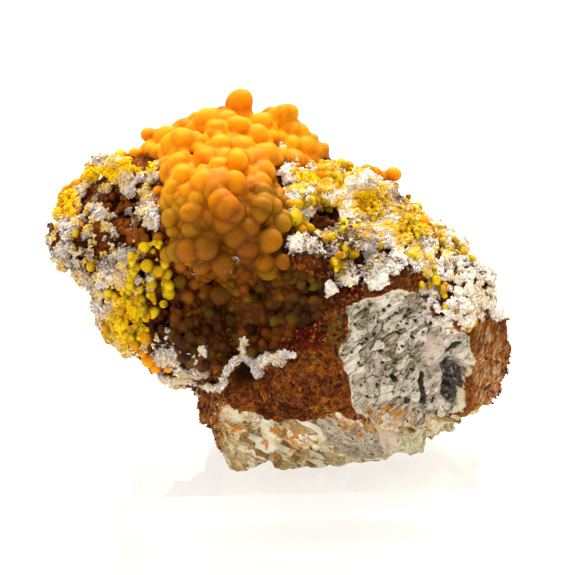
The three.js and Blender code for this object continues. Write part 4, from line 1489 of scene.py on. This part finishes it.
def beige_colour(f):
    """The warm pale rock at the foot, in drawn-out shards, with one grey streaked plate."""
    shard_place = f.wavy(f.grain_place(SHARD, SHARD_ACROSS, 4.2, 1.1), 1.1)
    shard_tone = f.spots(1.0, shard_place, output="Color")
    grain_place = f.wavy(f.grain_place(SHARD, SHARD_ACROSS, 1.8, 0.45), 2.4, 3.0)
    grain = f.noise(1.0, 5, 0.65, grain_place)
    beige_tone = shard_tone * 0.34 + grain * 0.45 + f.noise(2.0, 3) * 0.21
    beige = f.ramp(
        beige_tone, (0.36, BEIGE_SHADE), (0.45, BEIGE), (0.54, BEIGE_LIGHT), (0.64, BEIGE_WHITE)
    )
    edge = f.spots(1.0, shard_place, "DISTANCE_TO_EDGE").between(0.07, 0.01)
    beige = f.mix(edge * f.noise(1.3, 2).between(0.48, 0.58) * 0.8, beige, RUST_DARK)
    dash_place = f.wavy(f.grain_place(SHARD, SHARD_ACROSS, 1.5, 0.5), 0.2)
    dash_room = f.spots(1.0, dash_place, output="Color").between(0.35, 0.65) * 0.3
    dash = dash_room - f.spots(1.0, dash_place)
    beige = f.mix(f.mask("foot") * grain.between(0.38, 0.55) * 0.8, beige, FOOT_GREEN)
    beige = f.stained(beige, PINKISH, "pink", 1.1, 3, 0.35, 0.5, 0.7)
    plate = f.mix(grain.between(0.36, 0.62), PLATE_GREY, PALE)
    plate = f.mix(dash.between(0.0, 0.06) * 0.92, plate, SHADOW_AND_MARK_BLACK)
    return f.mix(f.mask("plate_edge").between(-0.05, 0.1), beige, plate)


def rock_finish():
    """Rusty limonite, with a pale pitted broken face and pale stained rock below."""
    f = Finish("limonite_and_pale_rock")
    on_face = f.mask("face_edge").between(-0.06, 0.06)
    on_lower = f.mask("lower_edge").between(-0.06, 0.06) * (1.0 - on_face)
    pale = f.mix(on_lower, pale_colour(f), beige_colour(f))
    loose_stain = f.noise(2.6, 2).between(0.56, 0.64) * on_lower
    stain = f.mask("ochre").most(loose_stain)
    pale = f.mix(stain * f.noise(0.9, 4).between(0.44, 0.58), pale, OCHRE)
    # Painted shadow in the sunk pits and gashes
    pit_and_gash_shadow = f.mask("pit_gap").most(f.mask("gash_gap"))
    pale = f.mix(pit_and_gash_shadow.between(-0.04, 0.06) * 0.93, pale, SHADOW_AND_MARK_BLACK)
    body = f.mix(on_face + on_lower, rust_colour(f), pale)
    lip = f.mask("face_edge").between(-0.1, 0.0) * f.mask("face_edge").between(0.32, 0.12)
    body = f.mix(lip * f.noise(1.2, 2).between(0.42, 0.52) * 0.8, body, RIM_CREAM)
    red = f.mix(f.noise(0.7, 4, 0.65).between(0.46, 0.58), RED_BROWN, SHADOW_AND_STAIN_DARK)
    body = f.stained(body, red, "red", 0.6, 3, 0.25, 0.45, 0.95)
    body = f.stained(body, OLIVE_DARK, "olive", 0.6, 3, 0.35, 0.55, 0.8)
    # Painted shadow in the holes and cavities
    body = f.mix(f.mask("hole") * 0.8, body, SHADOW_AND_STAIN_DARK)
    rough = f.bump(f.noise(0.25, 5, 0.65), 0.18)
    roughness = f.noise(1.0) * 0.3 + 0.6
    return f.surface(Base_Color=body, Roughness=roughness, Normal=rough, Specular_IOR_Level=0.1)


def crumb_finish():
    f = Finish("limonite_crumbs")
    tint = f.mask("own_tone") * 0.5 + f.noise(1.8, 3) * 0.5
    rust = f.ramp(tint, (0.25, RUST_DARK), (0.5, RUST), (0.75, RUST_LIGHT))
    rough = f.bump(f.noise(0.15, 3), 0.05)
    return f.surface(Base_Color=rust, Roughness=tint * 0.3 + 0.55, Normal=rough, Specular_IOR_Level=0.2)


def acrylic_finish():
    f = Finish("clear_acrylic")
    smear = f.noise(9.0, 3)
    return f.surface(
        Base_Color=(1.0, 0.965, 0.9, 1), Roughness=smear * 0.03 + 0.01, IOR=1.49,
        Transmission_Weight=1.0, Normal=f.bump(f.noise(14.0, 1), 0.02),
    )


def floor_finish():
    f = Finish("floor_white")
    speck = f.noise(40.0, 2)
    white = f.shade(FLOOR_WHITE, speck * 0.02 + 0.98)
    return f.surface(
        Base_Color=white, Roughness=0.6, Specular_IOR_Level=0.0, Emission_Color=(1, 1, 1, 1),
        Emission_Strength=FLOOR_GLOW,
    )


# Studio

def camera():
    data = bpy.data.cameras.new("view")
    data.lens = LENS
    data.sensor_width = SENSOR
    holder = add_object("view", data)
    right, forward, up = TURN.T
    turn = Matrix(np.stack([right, up, -forward], axis=1).tolist()).to_4x4()
    place = (ROCK_CENTRE - forward * VIEW_DISTANCE) * MM
    holder.matrix_world = Matrix.Translation(Vector(place.tolist())) @ turn
    bpy.context.scene.camera = holder


def floor():
    corners = np.array([(-1, -1, 0), (1, -1, 0), (1, 1, 0), (-1, 1, 0)]) * FLOOR_REACH
    sheet = make_mesh("floor", corners + (0, 0, FLOOR_LIFT), [(0, 1, 2, 3)])
    sheet.data.materials.append(floor_finish())


def sky():
    """A white light tent, brightest overhead and behind the specimen."""
    world = bpy.data.worlds.new("tent")
    bpy.context.scene.world = world
    world.use_nodes = True
    f = Nodes(world.node_tree)
    direction = f.node("ShaderNodeTexCoord", output="Generated")
    parts = f.node("ShaderNodeSeparateXYZ", None, {0: direction})
    ahead = parts.output(1)
    height = parts.output(2)
    strength = ahead.between(-0.3, 0.6) * 0.75 + 0.2
    strength = strength + height.between(0.35, 1.0) * 1.5
    light = f.node("ShaderNodeBackground", None, {0: (1, 1, 1, 1), 1: strength})
    f.end_with(light, "ShaderNodeOutputWorld")


def lamp(name, place, size, power):
    data = bpy.data.lights.new(name, "AREA")
    data.size = size
    data.energy = power
    holder = add_object(name, data)
    holder.location = place
    towards = LAMP_AIM - Vector(place)
    holder.rotation_euler = towards.to_track_quat("-Z", "Y").to_euler()


def studio():
    camera()
    floor()
    sky()
    for name, settings in LAMPS.items():
        lamp(name, *settings)
    bpy.context.scene.view_settings.view_transform = "Standard"


def specimen():
    wax = mimetite_finish()
    mimetite_crown(wax)
    mimetite_vug(wax)
    mimetite_clusters(wax)
    mimetite_back_patch(wax)
    scattered_balls(wax)
    cavity_crystals(wax)
    sugar = druse_finish()
    all_druse(sugar)
    needle_sprays(sugar)
    points, quads, masks = rock(rock_finish())
    limonite_grains(points, quads, masks, crumb_finish())


def clear_base():
    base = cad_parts["clear_base"]
    finish = acrylic_finish()
    base.data.materials.clear()
    base.data.materials.append(finish)


studio()
specimen()
clear_base()
